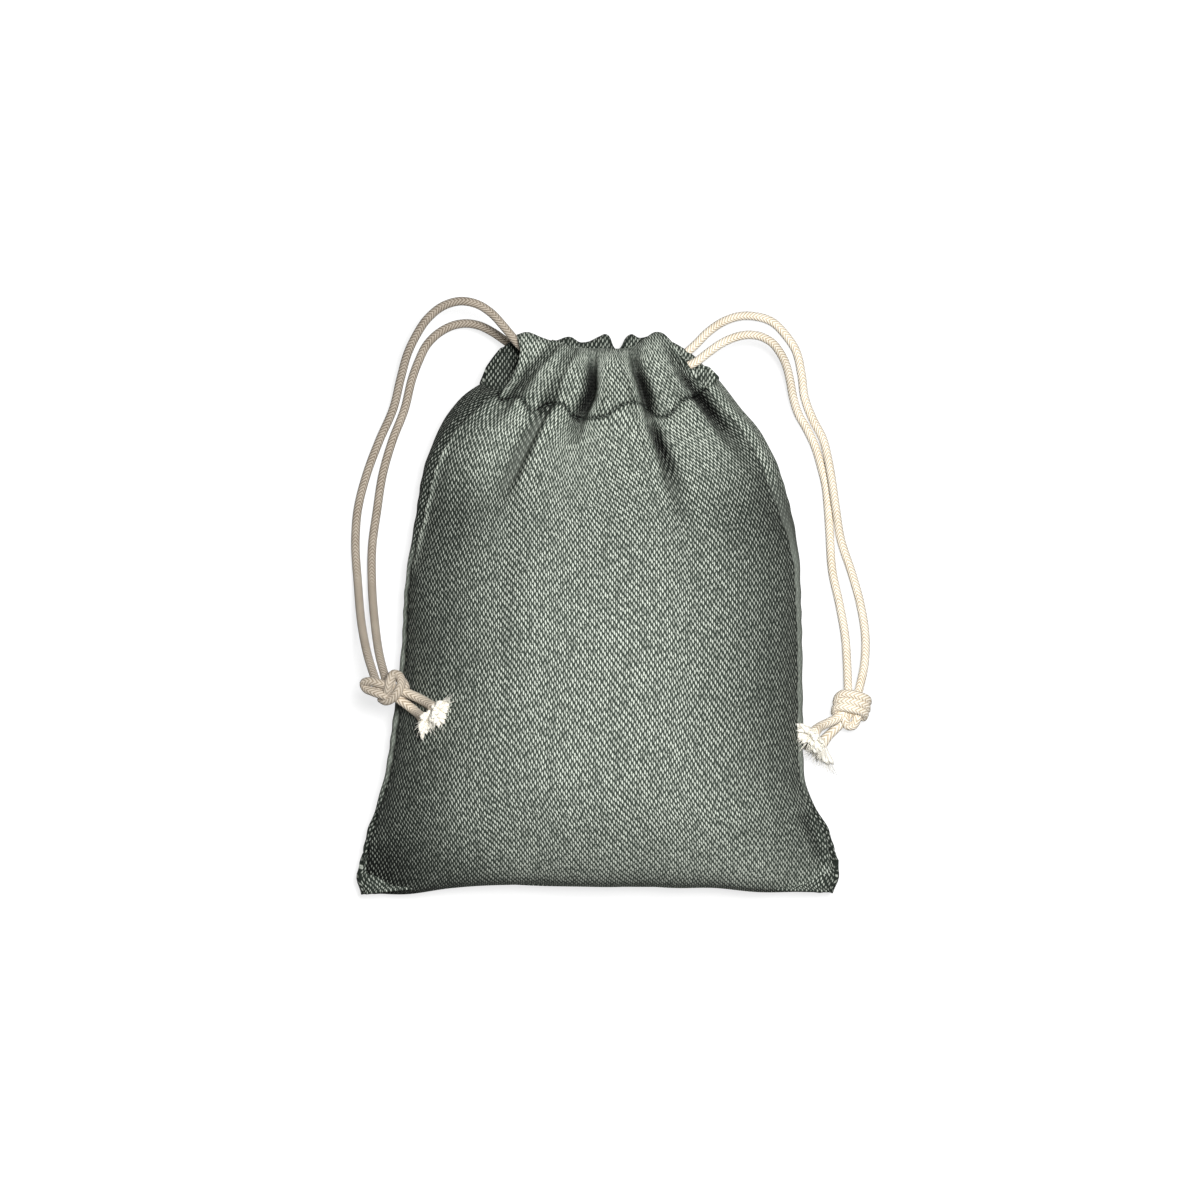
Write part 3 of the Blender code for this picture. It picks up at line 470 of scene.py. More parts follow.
    # Painted light and shade scale both yarn colours, the weft more than the warp.
    tone = add(tree, "ShaderNodeMapRange", {0: rub, 1: -0.1, 2: 1.4, 3: 0.05, 4: 1.36}).outputs[0]
    weft = add(tree, "ShaderNodeVectorMath", {0: linear(dark)[:3], "Scale": tone}, operation="SCALE").outputs[0]
    tone = add(tree, "ShaderNodeMapRange", {0: rub, 1: -1.0, 2: 1.4, 3: 0.10, 4: 1.18}).outputs[0]
    warp = add(tree, "ShaderNodeVectorMath", {0: linear(pale)[:3], "Scale": tone}, operation="SCALE").outputs[0]
    colour = add(tree, "ShaderNodeMix", {0: share, 6: weft, 7: warp}, data_type="RGBA").outputs[2]
    tree.links.new(colour, shader.inputs["Base Color"])
    bump = add(tree, "ShaderNodeBump", {"Height": crown, "Strength": 0.55, "Distance": 0.22 * MM}).outputs[0]
    tree.links.new(bump, shader.inputs["Normal"])
    return made


cloth_material = woven_cotton("woven_grey_green_cotton", pale="#D6DDD0", dark="#3A423B")
cloth_thickness = 0.7

columns = np.linspace(-1.0, 1.0, 281)
columns = 0.75 * columns + 0.25 * np.sin(columns * math.pi / 2)
rows = np.linspace(0.0, 1.0, 161)
rows = rows * (1.5 - 0.5 * rows)


def front_plan(s, t):
    """Where the front lies seen from above: from the bottom line to the stitch line, between the side seams."""
    low_x = np.interp(s, (-1, 1), (bottom_line[0, 0] + 0.6, bottom_line[-1, 0] - 0.8))
    low = through(*bottom_line.T, low_x)
    high_x = np.interp(s, (-1, 1), (stitch_line[0, 0], stitch_line[-1, 0]))
    high = through(*stitch_line.T, high_x)
    y = low * (1 - t) + high * t
    left, right = seams(y)
    return left * (1 - s) / 2 + right * (1 + s) / 2, y


def front_rise(s, t, y):
    """The front's height without its folds: a crown over the seams that falls to the neck and the bottom seam."""
    across = (1 - np.minimum(np.abs(s), 1.0) ** 2.4) ** 0.6
    shoulder = smooth_step((t - 0.5) / 0.5)
    top = crown_top + (neck_top - crown_top) * shoulder
    low = seam_height(s, y)
    filled = round_in(t * body_length / 48.0) * (1 - ear_flatness * ear(s, y))
    return low + (top - low) * across * filled


s, t = np.meshgrid(columns, rows)
x, y = front_plan(s, t)
sunk, dark = valley_depth(x, y)
smooth_front = np.stack([x, y, front_rise(s, t, y)], axis=2)
# The threads give at the flanks, where the filling stretches the cloth, so the weave lies between plan and cloth.
plan = np.stack([x - x[:, len(columns) // 2][:, None], y - y[len(rows) // 2][None]], axis=2)
front_lengths = 0.4 * cloth_lengths(smooth_front) + 0.6 * plan
front_lengths[..., 0] -= weave_shift(x, y)
front = smooth_front - sunk[..., None] * np.array((0.0, 0.0, 1.0))
edge = from_ends(front)
below_stitch = (1 - t) * body_length
# Painted light and shade on the front, with a painted dark line just below the stitch line.
front_rub = rubbed(s, y, sunk, dark) - 0.95 * np.exp(-((below_stitch / 0.6) ** 2))
# A painted highlight makes the left seam show as a pale ridge below the neck. Down in the folds the dashes hardly show.
painted_seam_highlight = np.exp(-(((x - seams(y)[0] - 0.7) / 1.1) ** 2)) * smooth_step((y - 10.0) / 12.0) * smooth_step((62.0 - y) / 12.0)
front_rub += 1.2 * painted_seam_highlight
front_fuzz = 0.65 * smooth_step((sunk - 1.0) / 3.0) * (1 - smooth_step(dark / 0.3))
# The side seams draw the cloth in, a roll beside them stands proud, and the casing's stitches pinch and pucker it.
relief = -0.8 * np.exp(-((edge / 1.2) ** 2)) + 0.5 * np.exp(-(((edge - 2.6) / 1.3) ** 2))
relief += 0.28 * np.exp(-edge / 6.0) * np.sin(y / 1.15 + 2.0 * np.sin(y / 7.0))
relief += 0.45 * ripples(x, y) * smooth_step(edge / 12.0)
relief -= 0.9 * np.exp(-((below_stitch / 0.7) ** 2))
relief += 0.32 * np.exp(-below_stitch / 5.0) * np.sin(x / 0.62 + 1.6 * np.sin(x / 3.1))
# A soft crease runs down into the right ear, and painted shade darkens it.
along = np.clip(((x - 65.8) * 5.2 - (y + 63.8) * 14.2) / (5.2**2 + 14.2**2), 0.0, 1.0)
ear_crease = np.exp(-((x - 65.8 - 5.2 * along) ** 2 + (y + 63.8 + 14.2 * along) ** 2) / 2.3**2)
relief -= 0.9 * ear_crease
front_rub -= 0.45 * ear_crease
front += normals(smooth_front) * relief[..., None]
front_cloth = place("front_cloth", grid_mesh("front_cloth", front, front_lengths, rub=front_rub, fuzz=front_fuzz), cloth_material)
solid = front_cloth.modifiers.new("cloth_thickness", "SOLIDIFY")
solid.thickness = cloth_thickness * MM
solid.offset = -1.0
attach(front_cloth, "pouch")
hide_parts("front_panel")

# Back of the pouch
# The same cloth, flat on the table under the filling. It rolls up round both sides to the seams.

widest_level = 12.0
corner_roll = 20.0
flat_share, roll_share = 0.60, 0.88


def back_section(s, y):
    """A cut across the back: flat on the table, then a quarter roll up to the widest place, then in to the seam."""
    left, right = edges(y)
    seam_left, seam_right = seams(y)
    out = np.where(s < 0, left, right)
    inset = np.where(s < 0, seam_left - left, right - seam_right)
    side = np.where(s < 0, -1.0, 1.0)
    a = np.abs(s)
    top = seam_height(np.sign(s), y)
    wide = np.minimum(widest_level, 0.7 * top)
    angle = (np.clip((a - flat_share) / (roll_share - flat_share), 0, 1) - 1) * math.pi / 2
    up = np.clip((a - roll_share) / (1 - roll_share), 0, 1)
    flat_x = (left + right) / 2 + (out - side * corner_roll - (left + right) / 2) * np.minimum(a / flat_share, 1)
    x = flat_x + side * corner_roll * np.cos(angle) * (a > flat_share) - side * inset * up**2
    z = wide * (1 + np.sin(angle)) + (top - wide) * up
    return x, z


s, t = np.meshgrid(columns, np.linspace(0.0, 1.0, 131))
low_x = np.interp(s, (-1, 1), (bottom_line[0, 0] + 0.6, bottom_line[-1, 0] - 0.8))
low = through(*bottom_line.T, low_x)
a = np.abs(s)
high = 63.0 + np.where(s < 0, 9.9, 10.9) * np.minimum(a / roll_share, 1) ** 2
high -= np.where(s < 0, 2.7, 2.4) * smooth_step((a - roll_share) / (1 - roll_share))
y = low * (1 - t) + high * t
x, z = back_section(s, y)
closing = round_in(t * body_length / 30.0) * (1 - ear_flatness * ear(s, y))
lift = 6.5 * smooth_step((t - 0.5) / 0.5)
z = seam_height(s, y) * (1 - closing) + (lift * (1 - z / seam_level * 0.6) + z) * closing
back = np.stack([x, y, z], axis=2)
edge = from_ends(back)
relief = 0.8 * np.exp(-((edge / 1.2) ** 2)) - 0.4 * np.exp(-(((edge - 2.4) / 1.3) ** 2))
relief -= 0.28 * np.exp(-edge / 6.0) * np.sin(y / 1.3 + 2.0 * np.sin(y / 6.0) + 1.0)
back += normals(back) * relief[..., None]
back[..., 2] = np.maximum(back[..., 2], 0.0)
# The warp runs along the side seams, and what the gathers take up is spread over the back.
back_lengths = cloth_lengths(back)
ends = back_lengths[:, (0, -1), 0] - back_lengths[len(back) // 2, (0, -1), 0]
back_lengths[..., 0] -= np.where(s < 0, ends[:, :1], ends[:, 1:]) * a**1.5
# Light and shade are painted on the back: both sides are lighter where they bulge out, but not at the ears. Above, the
# left one is turned away and gets painted shade, and a band on the right one does too.
upper = np.where(s < 0, smooth_step((y - 8.0) / 20.0), smooth_step((y - 22.0) / 25.0))
lower = smooth_step((-46.0 - y) / 16.0)
painted_shade_band = np.exp(-(((y - 31.0) / 12.0) ** 2))
turned = np.where(s < 0, 0.6 - 0.95 * upper - 0.85 * lower, 0.2 + 0.25 * upper - 0.45 * lower - 0.6 * painted_shade_band)
back_rub = 0.5 + 0.2 * (1 - a) + smooth_step((a - 0.7) / 0.15) * turned
back_fuzz = 0.8 * smooth_step((a - 0.78) / 0.08) * (1 - upper) * (1 - lower)
data = grid_mesh("back_cloth", back, back_lengths, flip=True, rub=back_rub, fuzz=back_fuzz)
back_cloth = place("back_cloth", data, cloth_material)
solid = back_cloth.modifiers.new("cloth_thickness", "SOLIDIFY")
solid.thickness = cloth_thickness * MM
solid.offset = -1.0
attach(back_cloth, "pouch")
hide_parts("back_panel")

# Casing sleeves
# The top of each panel is folded in and stitched down, which leaves a sleeve for the drawcords. Drawn together,
# each sleeve stands in soft lobes. The back one is wider and shows behind the front one and at both sides.

front_top_line = np.array([
    (-25.2, 87.2), (-22.4, 88.0), (-17.0, 86.2), (-13.0, 84.9), (-9.0, 83.8), (-4.0, 83.0), (1.0, 82.9), (5.0, 82.8),
    (9.0, 83.0), (12.0, 84.0), (15.0, 86.2), (18.0, 88.0), (20.5, 87.6), (22.8, 85.4), (24.6, 82.8),
])
back_top_line = np.array([
    (-27.8, 85.2), (-25.4, 86.0), (-22.0, 86.4), (-18.0, 85.4), (-13.3, 85.9), (-8.3, 87.0), (-5.5, 85.4), (-3.0, 85.6),
    (0.6, 87.2), (2.6, 87.9), (4.0, 86.8), (5.0, 84.2), (7.4, 84.0), (8.6, 86.4), (10.5, 87.9), (12.9, 86.8), (17.0, 87.4),
    (21.0, 86.6), (26.8, 83.6), (31.5, 80.2),
])
casing_height = 20.0
casing_columns = np.linspace(-1.0, 1.0, 241)
casing_turns = np.linspace(0.0, 2 * math.pi, 97)[:-1]
fold_start = 0.80


def fold_drop(w, depth):
    """How far a layer has come down towards the top fold: a quarter round over the last fifth of the sleeve."""
    part = np.clip((w - fold_start) / (1 - fold_start), 0, 1)
    return depth * (1 - np.sqrt(1 - part**2))


def sleeve(foot, top, inner_foot, outward, puff, outer_fold, inner_fold):
    """A loop of cloth from the stitch line, over the top fold and back down inside, carried from end to end.

    foot and top hold the stitch line's and the fold's points. Round the loop, w goes from 0 at the foot to 1 at the
    fold and back. The outer layer swells by puff off the straight line between the level of the foot and that of the
    outer fold. The inner layer lies inner_fold inside the fold and ends at the level inner_foot. outward is 1 for the
    front and -1 for the back.
    """
    turn, _ = np.meshgrid(casing_turns, casing_columns, indexing="ij")
    w = (1 - np.cos(turn)) / 2
    plan = foot[None] * (1 - w[..., None]) + top[None] * w[..., None]
    foot_z, top_z = foot[None, :, 2] * outward, top[None, :, 2] * outward
    over = foot_z + (top_z + outer_fold - foot_z) * smooth_step(w / 0.9) + puff * smooth_step(w / 0.4) * smooth_step((1 - w) / 0.5)
    over = over - fold_drop(w, outer_fold)
    under = top_z - inner_fold + fold_drop(w, inner_fold)
    under = under + (inner_foot[None] * outward - under) * smooth_step((0.45 - w) / 0.45)
    return plan[..., 0], plan[..., 1], over * outward, under * outward, w, turn < math.pi


s = casing_columns
foot = np.stack([np.interp(s, columns, front[-1][:, i]) for i in range(3)], axis=1)
foot[:, 2] += valley_depth(foot[:, 0], foot[:, 1])[0] - 0.3
top_x = np.interp(s, (-1, 1), (front_top_line[0, 0], front_top_line[-1, 0]))
top = np.stack([top_x, through(*front_top_line.T, top_x), np.full_like(s, 24.0)], axis=1)
x, y, over, under, w, outer = sleeve(foot, top, foot[:, 2] - 1.6, 1, 1.6, 5.2, 4.8)
# The left end is drawn in where the cord comes out over the back sleeve.
x = x + 3.0 * np.sin(math.pi * np.minimum(w, 1.0)) * np.where(s < 0, np.abs(s) ** 5, 0.0)
# The inner layer stops short of the sleeve's ends, where the cord that turns into the back sleeve goes through.
x = np.where(outer, x, x * (1 - 0.10 * np.abs(s) ** 5 * smooth_step(w / 0.3) * smooth_step((1 - w) / 0.1)))
sunk, dark = valley_depth(x, y)
above_stitch = w * casing_height
over = over - sunk + 0.9 * (1 - np.exp(-((above_stitch / 0.8) ** 2))) * smooth_step((1 - np.abs(s)) / 0.2)
over += 0.3 * np.exp(-w * 6.0) * smooth_step(w / 0.04) * np.sin(x / 0.62 + 1.6 * np.sin(x / 3.1))
# Over the two cords in the sleeve, the outer layer stays clear of them however deep its valleys are.
lane_top = np.interp(x, (-24.0, -12.0, 0.0, 12.0, 24.0), (26.4, 25.8, 24.8, 25.4, 26.4))
beside = np.maximum(np.maximum(75.9 - y, y - 84.6), 0.0)
lane_side = np.interp(x, (18.0, 25.0), (8.0, 4.6))
over = np.where(outer, np.maximum(over, lane_top - lane_side * smooth_step(beside / 5.0)), over)
# The inner layer keeps clear below the outer one, also beside a steep fold.
beside = np.pad(over, ((0, 0), (8, 8)), mode="edge")
lowest = np.min(np.lib.stride_tricks.sliding_window_view(beside, 17, axis=1), axis=2)
under = np.minimum(under, lowest - 1.7 * smooth_step((1 - w) / 0.06))
points = np.stack([x, y, np.where(outer, over, under)], axis=2)
lengths = np.stack([x - weave_shift(x, y), np.where(outer, 85.0 + 1.1 * (y - 65.0), 215.0 - y)], axis=2)
# Painted light and shade on the sleeve, and a painted dark line just above the stitch line.
rub = rubbed(0.55 * s[None, :], y, sunk, dark) - 0.9 * np.exp(-((above_stitch / 0.6) ** 2))
data = grid_mesh("front_casing_cloth", points, lengths, wrap=True, rub=rub)
front_casing = place("front_casing_cloth", data, cloth_material)
solid = front_casing.modifiers.new("cloth_thickness", "SOLIDIFY")
solid.thickness = cloth_thickness * MM
solid.offset = -1.0
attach(front_casing, "pouch")
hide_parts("front_casing")

# The back sleeve's inner layer is seen at both sides as a flap. It comes up to the seams there, and on the right it
# is drawn back behind the front sleeve, so that both cords lie on the outer layer.
foot = np.stack([np.interp(s * roll_share, columns, back[-1][:, i]) for i in range(3)], axis=1)
top_x = np.interp(s, (-1, 1), (back_top_line[0, 0], back_top_line[-1, 0]))
top = np.stack([top_x, through(*back_top_line.T, top_x), 10.0 + 1.5 * np.abs(s) ** 8], axis=1)
flap_foot = np.interp(
    foot[:, 0], (-38.5, -34.5, -30.6, -26.0, -22.0, 24.0, 28.0, 33.1, 36.0, 39.0), (15.6, 18.4, 20.2, 17.0, 15.5, 15.5, 17.0, 20.2, 18.4, 15.6)
)
x, y, over, under, w, outer = sleeve(foot, top, flap_foot, -1, 1.0, 4.4, 4.4)
peel = 6.5 * smooth_step((s - 0.55) / 0.45)[None] * smooth_step((1 - w) / 0.12) * smooth_step((w - 0.45) / 0.2)
x = np.where(outer, x, x - peel) - 1.7 * np.sin(math.pi * w) * np.where(s < 0, np.abs(s) ** 6, 0.0)
lobes = np.sin(x / 1.9 + 1.1 * np.sin(x / 5.3)) * smooth_step(w / 0.5) * (1 - s**4)[None, :]
points = np.stack([x, y, np.where(outer, over, under) + 0.9 * lobes], axis=2)
points[..., 2] = np.maximum(points[..., 2], 0.4)
lengths = np.stack([x, np.where(outer, y, 200.0 - y)], axis=2)
# Painted shade on the flap, deepest at its left end and least at its right end.
rub = np.broadcast_to(np.interp(s, (-1.0, -0.6, 0.6, 1.0), (0.12, 0.45, 0.6, 0.85)), w.shape)
data = grid_mesh("back_casing_cloth", points, lengths, flip=True, wrap=True, rub=rub)
back_casing = place("back_casing_cloth", data, cloth_material)
solid = back_casing.modifiers.new("cloth_thickness", "SOLIDIFY")
solid.thickness = cloth_thickness * MM
solid.offset = -1.0
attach(back_casing, "pouch")
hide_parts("back_casing")

# Overlocked seam allowances
# Inside the pouch the raw edges of both panels are trimmed and bound together with looped thread, along both
# sides and the bottom. The strip lies just inside the seam.

thread_material = bpy.data.materials.new("spun_green_thread")
thread_material.use_nodes = True
tree = thread_material.node_tree
shader = tree.nodes["Principled BSDF"]
shader.inputs["Roughness"].default_value = 0.85
spot = add(tree, "ShaderNodeTexCoord").outputs["Object"]
fibres = add(tree, "ShaderNodeTexNoise", {"Vector": spot, "Scale": 2400.0, "Detail": 2.0}).outputs["Fac"]
colour = add(tree, "ShaderNodeMix", {0: fibres, 6: linear("#2F3730"), 7: linear("#6F7A6F")}, data_type="RGBA").outputs[2]
tree.links.new(colour, shader.inputs["Base Color"])
bump = add(tree, "ShaderNodeBump", {"Height": fibres, "Strength": 0.4, "Distance": 0.1 * MM}).outputs[0]
tree.links.new(bump, shader.inputs["Normal"])


def along_lengths(line):
    """Distance along a line of points from its first one."""
    return np.concatenate([[0.0], np.cumsum(np.linalg.norm(np.diff(line, axis=0), axis=1))])


def resample(line, step):
    """The same line with points at even steps."""
    along = along_lengths(line)
    even = np.linspace(0.0, along[-1], max(int(along[-1] / step), 2) + 1)
    return np.stack([np.interp(even, along, line[:, i]) for i in range(3)], axis=1)


def carry(line, reference, around, radius, wide=1.0):
    """A closed profile carried along a line: radius is an array of around by line, wide stretches it sideways.

    The profile stands square to the line, with its top towards reference. Both ends are drawn to a point.
    """
    tangent = np.gradient(line, axis=0)
    tangent /= np.linalg.norm(tangent, axis=1, keepdims=True)
    side = np.cross(tangent, reference)
    side /= np.linalg.norm(side, axis=1, keepdims=True)
    up = np.cross(side, tangent)
    ring = wide * np.cos(around)[:, :, None] * side[None] + np.sin(around)[:, :, None] * up[None]
    points = line[None] + ring * radius[:, :, None]
    ends = [np.broadcast_to(line[i], (len(around), 1, 3)) for i in (0, -1)]
    return np.concatenate([ends[0], points, ends[1]], axis=1)


strip_half, strip_thick = 2.3, 0.75
loop_pitch = 2.2
y = np.linspace(-68.0, 44.0, 200)
left, right = seams(y)
strip_lines = {
    "left_seam_overlock": np.stack([left + 4.0, y, seam_height(-1.0, y) - 0.5], axis=1),
    "right_seam_overlock": np.stack([right - 4.0, y, seam_height(1.0, y) - 0.5], axis=1),
}
x = np.linspace(-50.0, 50.0, 160)
strip_lines["bottom_seam_overlock"] = np.stack([x, through(*bottom_line.T, x) + 4.2, np.full_like(x, 16.4)], axis=1)
for name, line in strip_lines.items():
    line = resample(line, 0.45)
    along = along_lengths(line)
    around = np.broadcast_to(np.linspace(0, 2 * math.pi, 15)[:-1, None], (14, len(line)))
    loops = 0.16 * np.cos(2 * math.pi * along[None] / loop_pitch + 1.3 * np.cos(around))
    radius = strip_thick * (1 + loops)
    points = carry(line, np.array((0.0, 0.0, 1.0)), around, radius, wide=strip_half / strip_thick)
    strip = place(name + "_thread", weld(grid_mesh(name + "_thread", points, wrap=True)), thread_material)
    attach(strip, "pouch")
    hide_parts(name)

# Casing stitching
# One row of lockstitch in green thread holds each sleeve's hem down. The stitches sink into the gathered cloth.

stitch_pitch, stitch_gap, thread_radius = 2.3, 0.35, 0.2


def stitches(name, line, out):
    """A row of short threads along a line, each bowed a little out of the cloth, its ends sunk in.

    a runs along one stitch from 0 to 1: the thread's radius follows a flattened sine, and so does its bow.
    """
    along = along_lengths(line)
    starts = np.arange(stitch_gap, along[-1] - stitch_pitch, stitch_pitch)
    a = np.linspace(0.0, 1.0, 7)
    spots = starts[:, None] + a[None] * (stitch_pitch - stitch_gap)
    centre = np.stack([np.interp(spots, along, line[:, i]) for i in range(3)], axis=2)
    lift = np.stack([np.interp(spots, along, out[:, i]) for i in range(3)], axis=2)
    tangent = np.gradient(centre, axis=1)
    tangent /= np.linalg.norm(tangent, axis=2, keepdims=True)
    side = np.cross(tangent, lift)
    bow = np.sin(math.pi * a)[None, :, None]
    centre = centre + lift * (0.42 * bow**0.6 - 0.22)
    around = np.linspace(0, 2 * math.pi, 7)[:-1]
    ring = np.cos(around)[:, None] * side[:, :, None, :] + np.sin(around)[:, None] * lift[:, :, None, :]
    points = centre[:, :, None, :] + ring * thread_radius * (bow**0.4)[:, :, None, :]
    count, rings, sides = points.shape[:3]
    index = np.arange(count * rings * sides).reshape(count, rings, sides)
    beside = np.roll(index, -1, axis=2)
    faces = np.stack([index[:, :-1], beside[:, :-1], beside[:, 1:], index[:, 1:]], axis=-1).reshape(-1, 4)
    data = bpy.data.meshes.new(name)
    data.from_pydata((points.reshape(-1, 3) * MM).tolist(), [], faces.tolist())
    data.shade_smooth()
    return weld(data)


row = resample(front[-1], 0.4)
out = np.stack([np.zeros(len(row)), np.full(len(row), -0.35), np.full(len(row), 0.94)], axis=1)
front_stitches = place("front_casing_thread", stitches("front_casing_thread", row, out), thread_material)
row = resample(back[-1, 12:-12], 0.4)
out = np.broadcast_to(np.array((0.0, -0.3, -0.95)), row.shape)
back_stitches = place("back_casing_thread", stitches("back_casing_thread", row, out), thread_material)
for piece, node in ((front_stitches, "front_casing_stitching"), (back_stitches, "back_casing_stitching")):
    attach(piece, "pouch")
    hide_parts(node)

# Drawcord strands
# Undyed cotton braid, 2.7 mm thick. Each cord enters at one side, runs round the mouth in both sleeves and comes
# out again at the side where it entered, so two strands hang down each side to their knot.

cord_radius = 1.35


def cotton_braid(name, pale, shade):
    """Undyed cotton braid: pale yarn on the crowns and painted shade, in tan, in the hollows, with fine fibres and
    faint stains.

    The UV map holds the way along the cord in decimetres, and the place round it in hundredths of a column of yarn.
    In each column the yarns follow one another at a slant that changes from column to column, which gives chevrons.
    """
    yarn_pitch = 1.15
    made = bpy.data.materials.new(name)
    made.use_nodes = True
    tree = made.node_tree
    shader = tree.nodes["Principled BSDF"]
    shader.inputs["Roughness"].default_value = 0.9
    shader.inputs["Specular IOR Level"].default_value = 0.2
    shader.inputs["Sheen Weight"].default_value = 0.12
    cord = add(tree, "ShaderNodeUVMap", uv_map="cloth").outputs[0]
    laid = add(
        tree, "ShaderNodeVectorMath", {0: cord, 1: (100 / yarn_pitch, 100.0, 0.0)}, operation="MULTIPLY"
    ).outputs[0]
    split = add(tree, "ShaderNodeSeparateXYZ", {0: laid}).outputs
    across = add(tree, "ShaderNodeMath", {0: split[1]}, operation="FRACT").outputs[0]
    across = add(tree, "ShaderNodeMath", {0: across, 1: 0.5}, operation="SUBTRACT").outputs[0]
    slant = add(tree, "ShaderNodeMath", {0: split[1]}, operation="FLOOR").outputs[0]
    slant = add(tree, "ShaderNodeMath", {0: slant, 1: 2.0}, operation="FLOORED_MODULO").outputs[0]
    slant = add(tree, "ShaderNodeMath", {0: slant, 1: 3.8, 2: -1.9}, operation="MULTIPLY_ADD").outputs[0]
    yarn = add(tree, "ShaderNodeMath", {0: across, 1: slant, 2: split[0]}, operation="MULTIPLY_ADD").outputs[0]
    yarn = add(tree, "ShaderNodeMath", {0: yarn}, operation="FRACT").outputs[0]
    yarn = add(tree, "ShaderNodeMath", {0: yarn, 1: 0.5}, operation="SUBTRACT").outputs[0]
    yarn = add(tree, "ShaderNodeMath", {0: yarn}, operation="ABSOLUTE").outputs[0]
    crown = add(
        tree, "ShaderNodeMapRange", {0: yarn, 1: 0.5, 2: 0.1, 3: 0.0, 4: 1.0}, interpolation_type="SMOOTHSTEP"
    ).outputs[0]
    spot = add(tree, "ShaderNodeTexCoord").outputs["Object"]
    fibres = add(tree, "ShaderNodeTexNoise", {"Vector": spot, "Scale": 2600.0, "Detail": 3.0}).outputs["Fac"]
    stains = add(tree, "ShaderNodeTexNoise", {"Vector": spot, "Scale": 160.0, "Detail": 2.0}).outputs["Fac"]
    # The hollows between the yarns take painted shade, the crowns the pale yarn colour.
    depth = add(tree, "ShaderNodeMath", {0: crown, 1: 0.75, 2: -0.40}, operation="MULTIPLY_ADD").outputs[0]
    depth = add(tree, "ShaderNodeMath", {0: fibres, 1: 0.7, 2: depth}, operation="MULTIPLY_ADD").outputs[0]
    depth = add(
        tree, "ShaderNodeMath", {0: stains, 1: 0.6, 2: depth}, operation="MULTIPLY_ADD", use_clamp=True
    ).outputs[0]
    colour = add(tree, "ShaderNodeMix", {0: depth, 6: linear(shade), 7: linear(pale)}, data_type="RGBA").outputs[2]
    tree.links.new(colour, shader.inputs["Base Color"])
    bump = add(tree, "ShaderNodeBump", {"Height": crown, "Strength": 0.6, "Distance": 0.22 * MM}).outputs[0]
    bump = add(
        tree, "ShaderNodeBump", {"Height": fibres, "Strength": 0.35, "Distance": 0.12 * MM, "Normal": bump}
    ).outputs[0]
    tree.links.new(bump, shader.inputs["Normal"])
    return made


# The left cord's materials are shaded copies of the right one's, with painted shade: most on its strands, less on its
# knot and least on its tails. The right one keeps the braid's own colour.
cord_materials = {
    "left": cotton_braid("shaded_cotton_braid", pale="#B9AE9F", shade="#625341"),
    "right": cotton_braid("undyed_cotton_braid", pale="#FFF6E6", shade="#B0986E"),
}
knot_materials = {
    "left": cotton_braid("shaded_cotton_braid_knot", pale="#CABFAF", shade="#7A6953"), "right": cord_materials["right"],
}
tail_materials = {
    "left": cotton_braid("shaded_cotton_braid_ends", pale="#E6DAC7", shade="#8A755A"), "right": cord_materials["right"],
}


def route(points, step=0.5):
    """A smooth line through given points, with points at even steps."""
    points = np.asarray(points, float)
    along = along_lengths(points)
    fine = np.linspace(0.0, along[-1], max(int(along[-1] / 0.15), 8))
    return resample(np.stack([through(along, points[:, i], fine) for i in range(3)], axis=1), step)


def braid(name, line, reference=(0.0, 0.0, 1.0), thick=cord_radius, flare=0.0, slack=1.0):
    """A round braid along a line, as a tube with four columns of yarn round it.

    flare widens the far end, and slack draws the yarns' pitch out.
    """
    along = along_lengths(line)
    around = np.broadcast_to(np.linspace(-math.pi / 2, 1.5 * math.pi, 17)[:-1, None], (16, len(line)))
    wide = 1 + flare * smooth_step((along - along[-1] + 5.0) / 5.0)
    points = carry(line, np.asarray(reference), around, np.broadcast_to(thick * wide[None], around.shape))
    column = around * 2 / math.pi + 9.0 + 0.25 * np.sin(along / 23.0)[None]
    lengths = np.stack([np.broadcast_to(along / slack, around.shape), column], axis=2)
    lengths = np.concatenate([lengths[:, :1], lengths, lengths[:, -1:]], axis=1)
    return weld(grid_mesh(name, points, lengths, wrap=True, period=(0.0, 4.0)))


left_front_route = [
    (7.0, 80.2, 22.6), (0.0, 80.4, 22.6), (-7.0, 80.8, 22.9), (-13.0, 81.2, 23.6), (-18.5, 81.4, 24.2),
    (-22.2, 82.3, 24.4), (-24.6, 84.2, 24.6), (-26.8, 86.8, 24.8), (-29.4, 89.9, 24.9), (-33.0, 93.8, 24.6),
    (-37.3, 96.6, 23.8), (-42.3, 97.7, 22.6), (-48.0, 96.4, 20.2), (-53.4, 92.2, 17.4), (-56.9, 87.1, 14.8),
    (-59.4, 82.1, 12.2), (-61.7, 74.6, 8.6), (-64.3, 64.6, 4.8), (-68.8, 54.5, 2.4), (-72.6, 44.5, 1.6),
    (-75.7, 32.0, 1.6), (-76.3, 23.2, 1.9), (-75.4, 9.4, 5.0), (-74.0, -3.1, 12.4), (-71.9, -12.5, 20.4),
    (-68.6, -22.0, 29.0),
]
left_back_route = [
    (7.0, 81.0, 10.0), (-6.0, 81.8, 10.0), (-16.0, 82.2, 10.0), (-22.0, 82.4, 10.2), (-25.8, 83.6, 10.4),
    (-28.8, 85.7, 10.4), (-33.0, 88.6, 9.4), (-37.3, 90.7, 8.0), (-41.5, 91.4, 6.6), (-45.1, 90.9, 5.6),
    (-48.9, 89.2, 4.6), (-53.6, 85.0, 3.2), (-56.4, 79.6, 2.2), (-58.3, 74.6, 1.7), (-60.8, 64.6, 1.6),
    (-64.7, 54.5, 1.6), (-67.6, 44.5, 1.6), (-69.6, 32.0, 1.6), (-71.0, 21.6, 1.9), (-71.0, 9.4, 5.0),
    (-69.8, -3.1, 12.4), (-68.2, -12.5, 20.4), (-65.4, -22.0, 29.0),
]
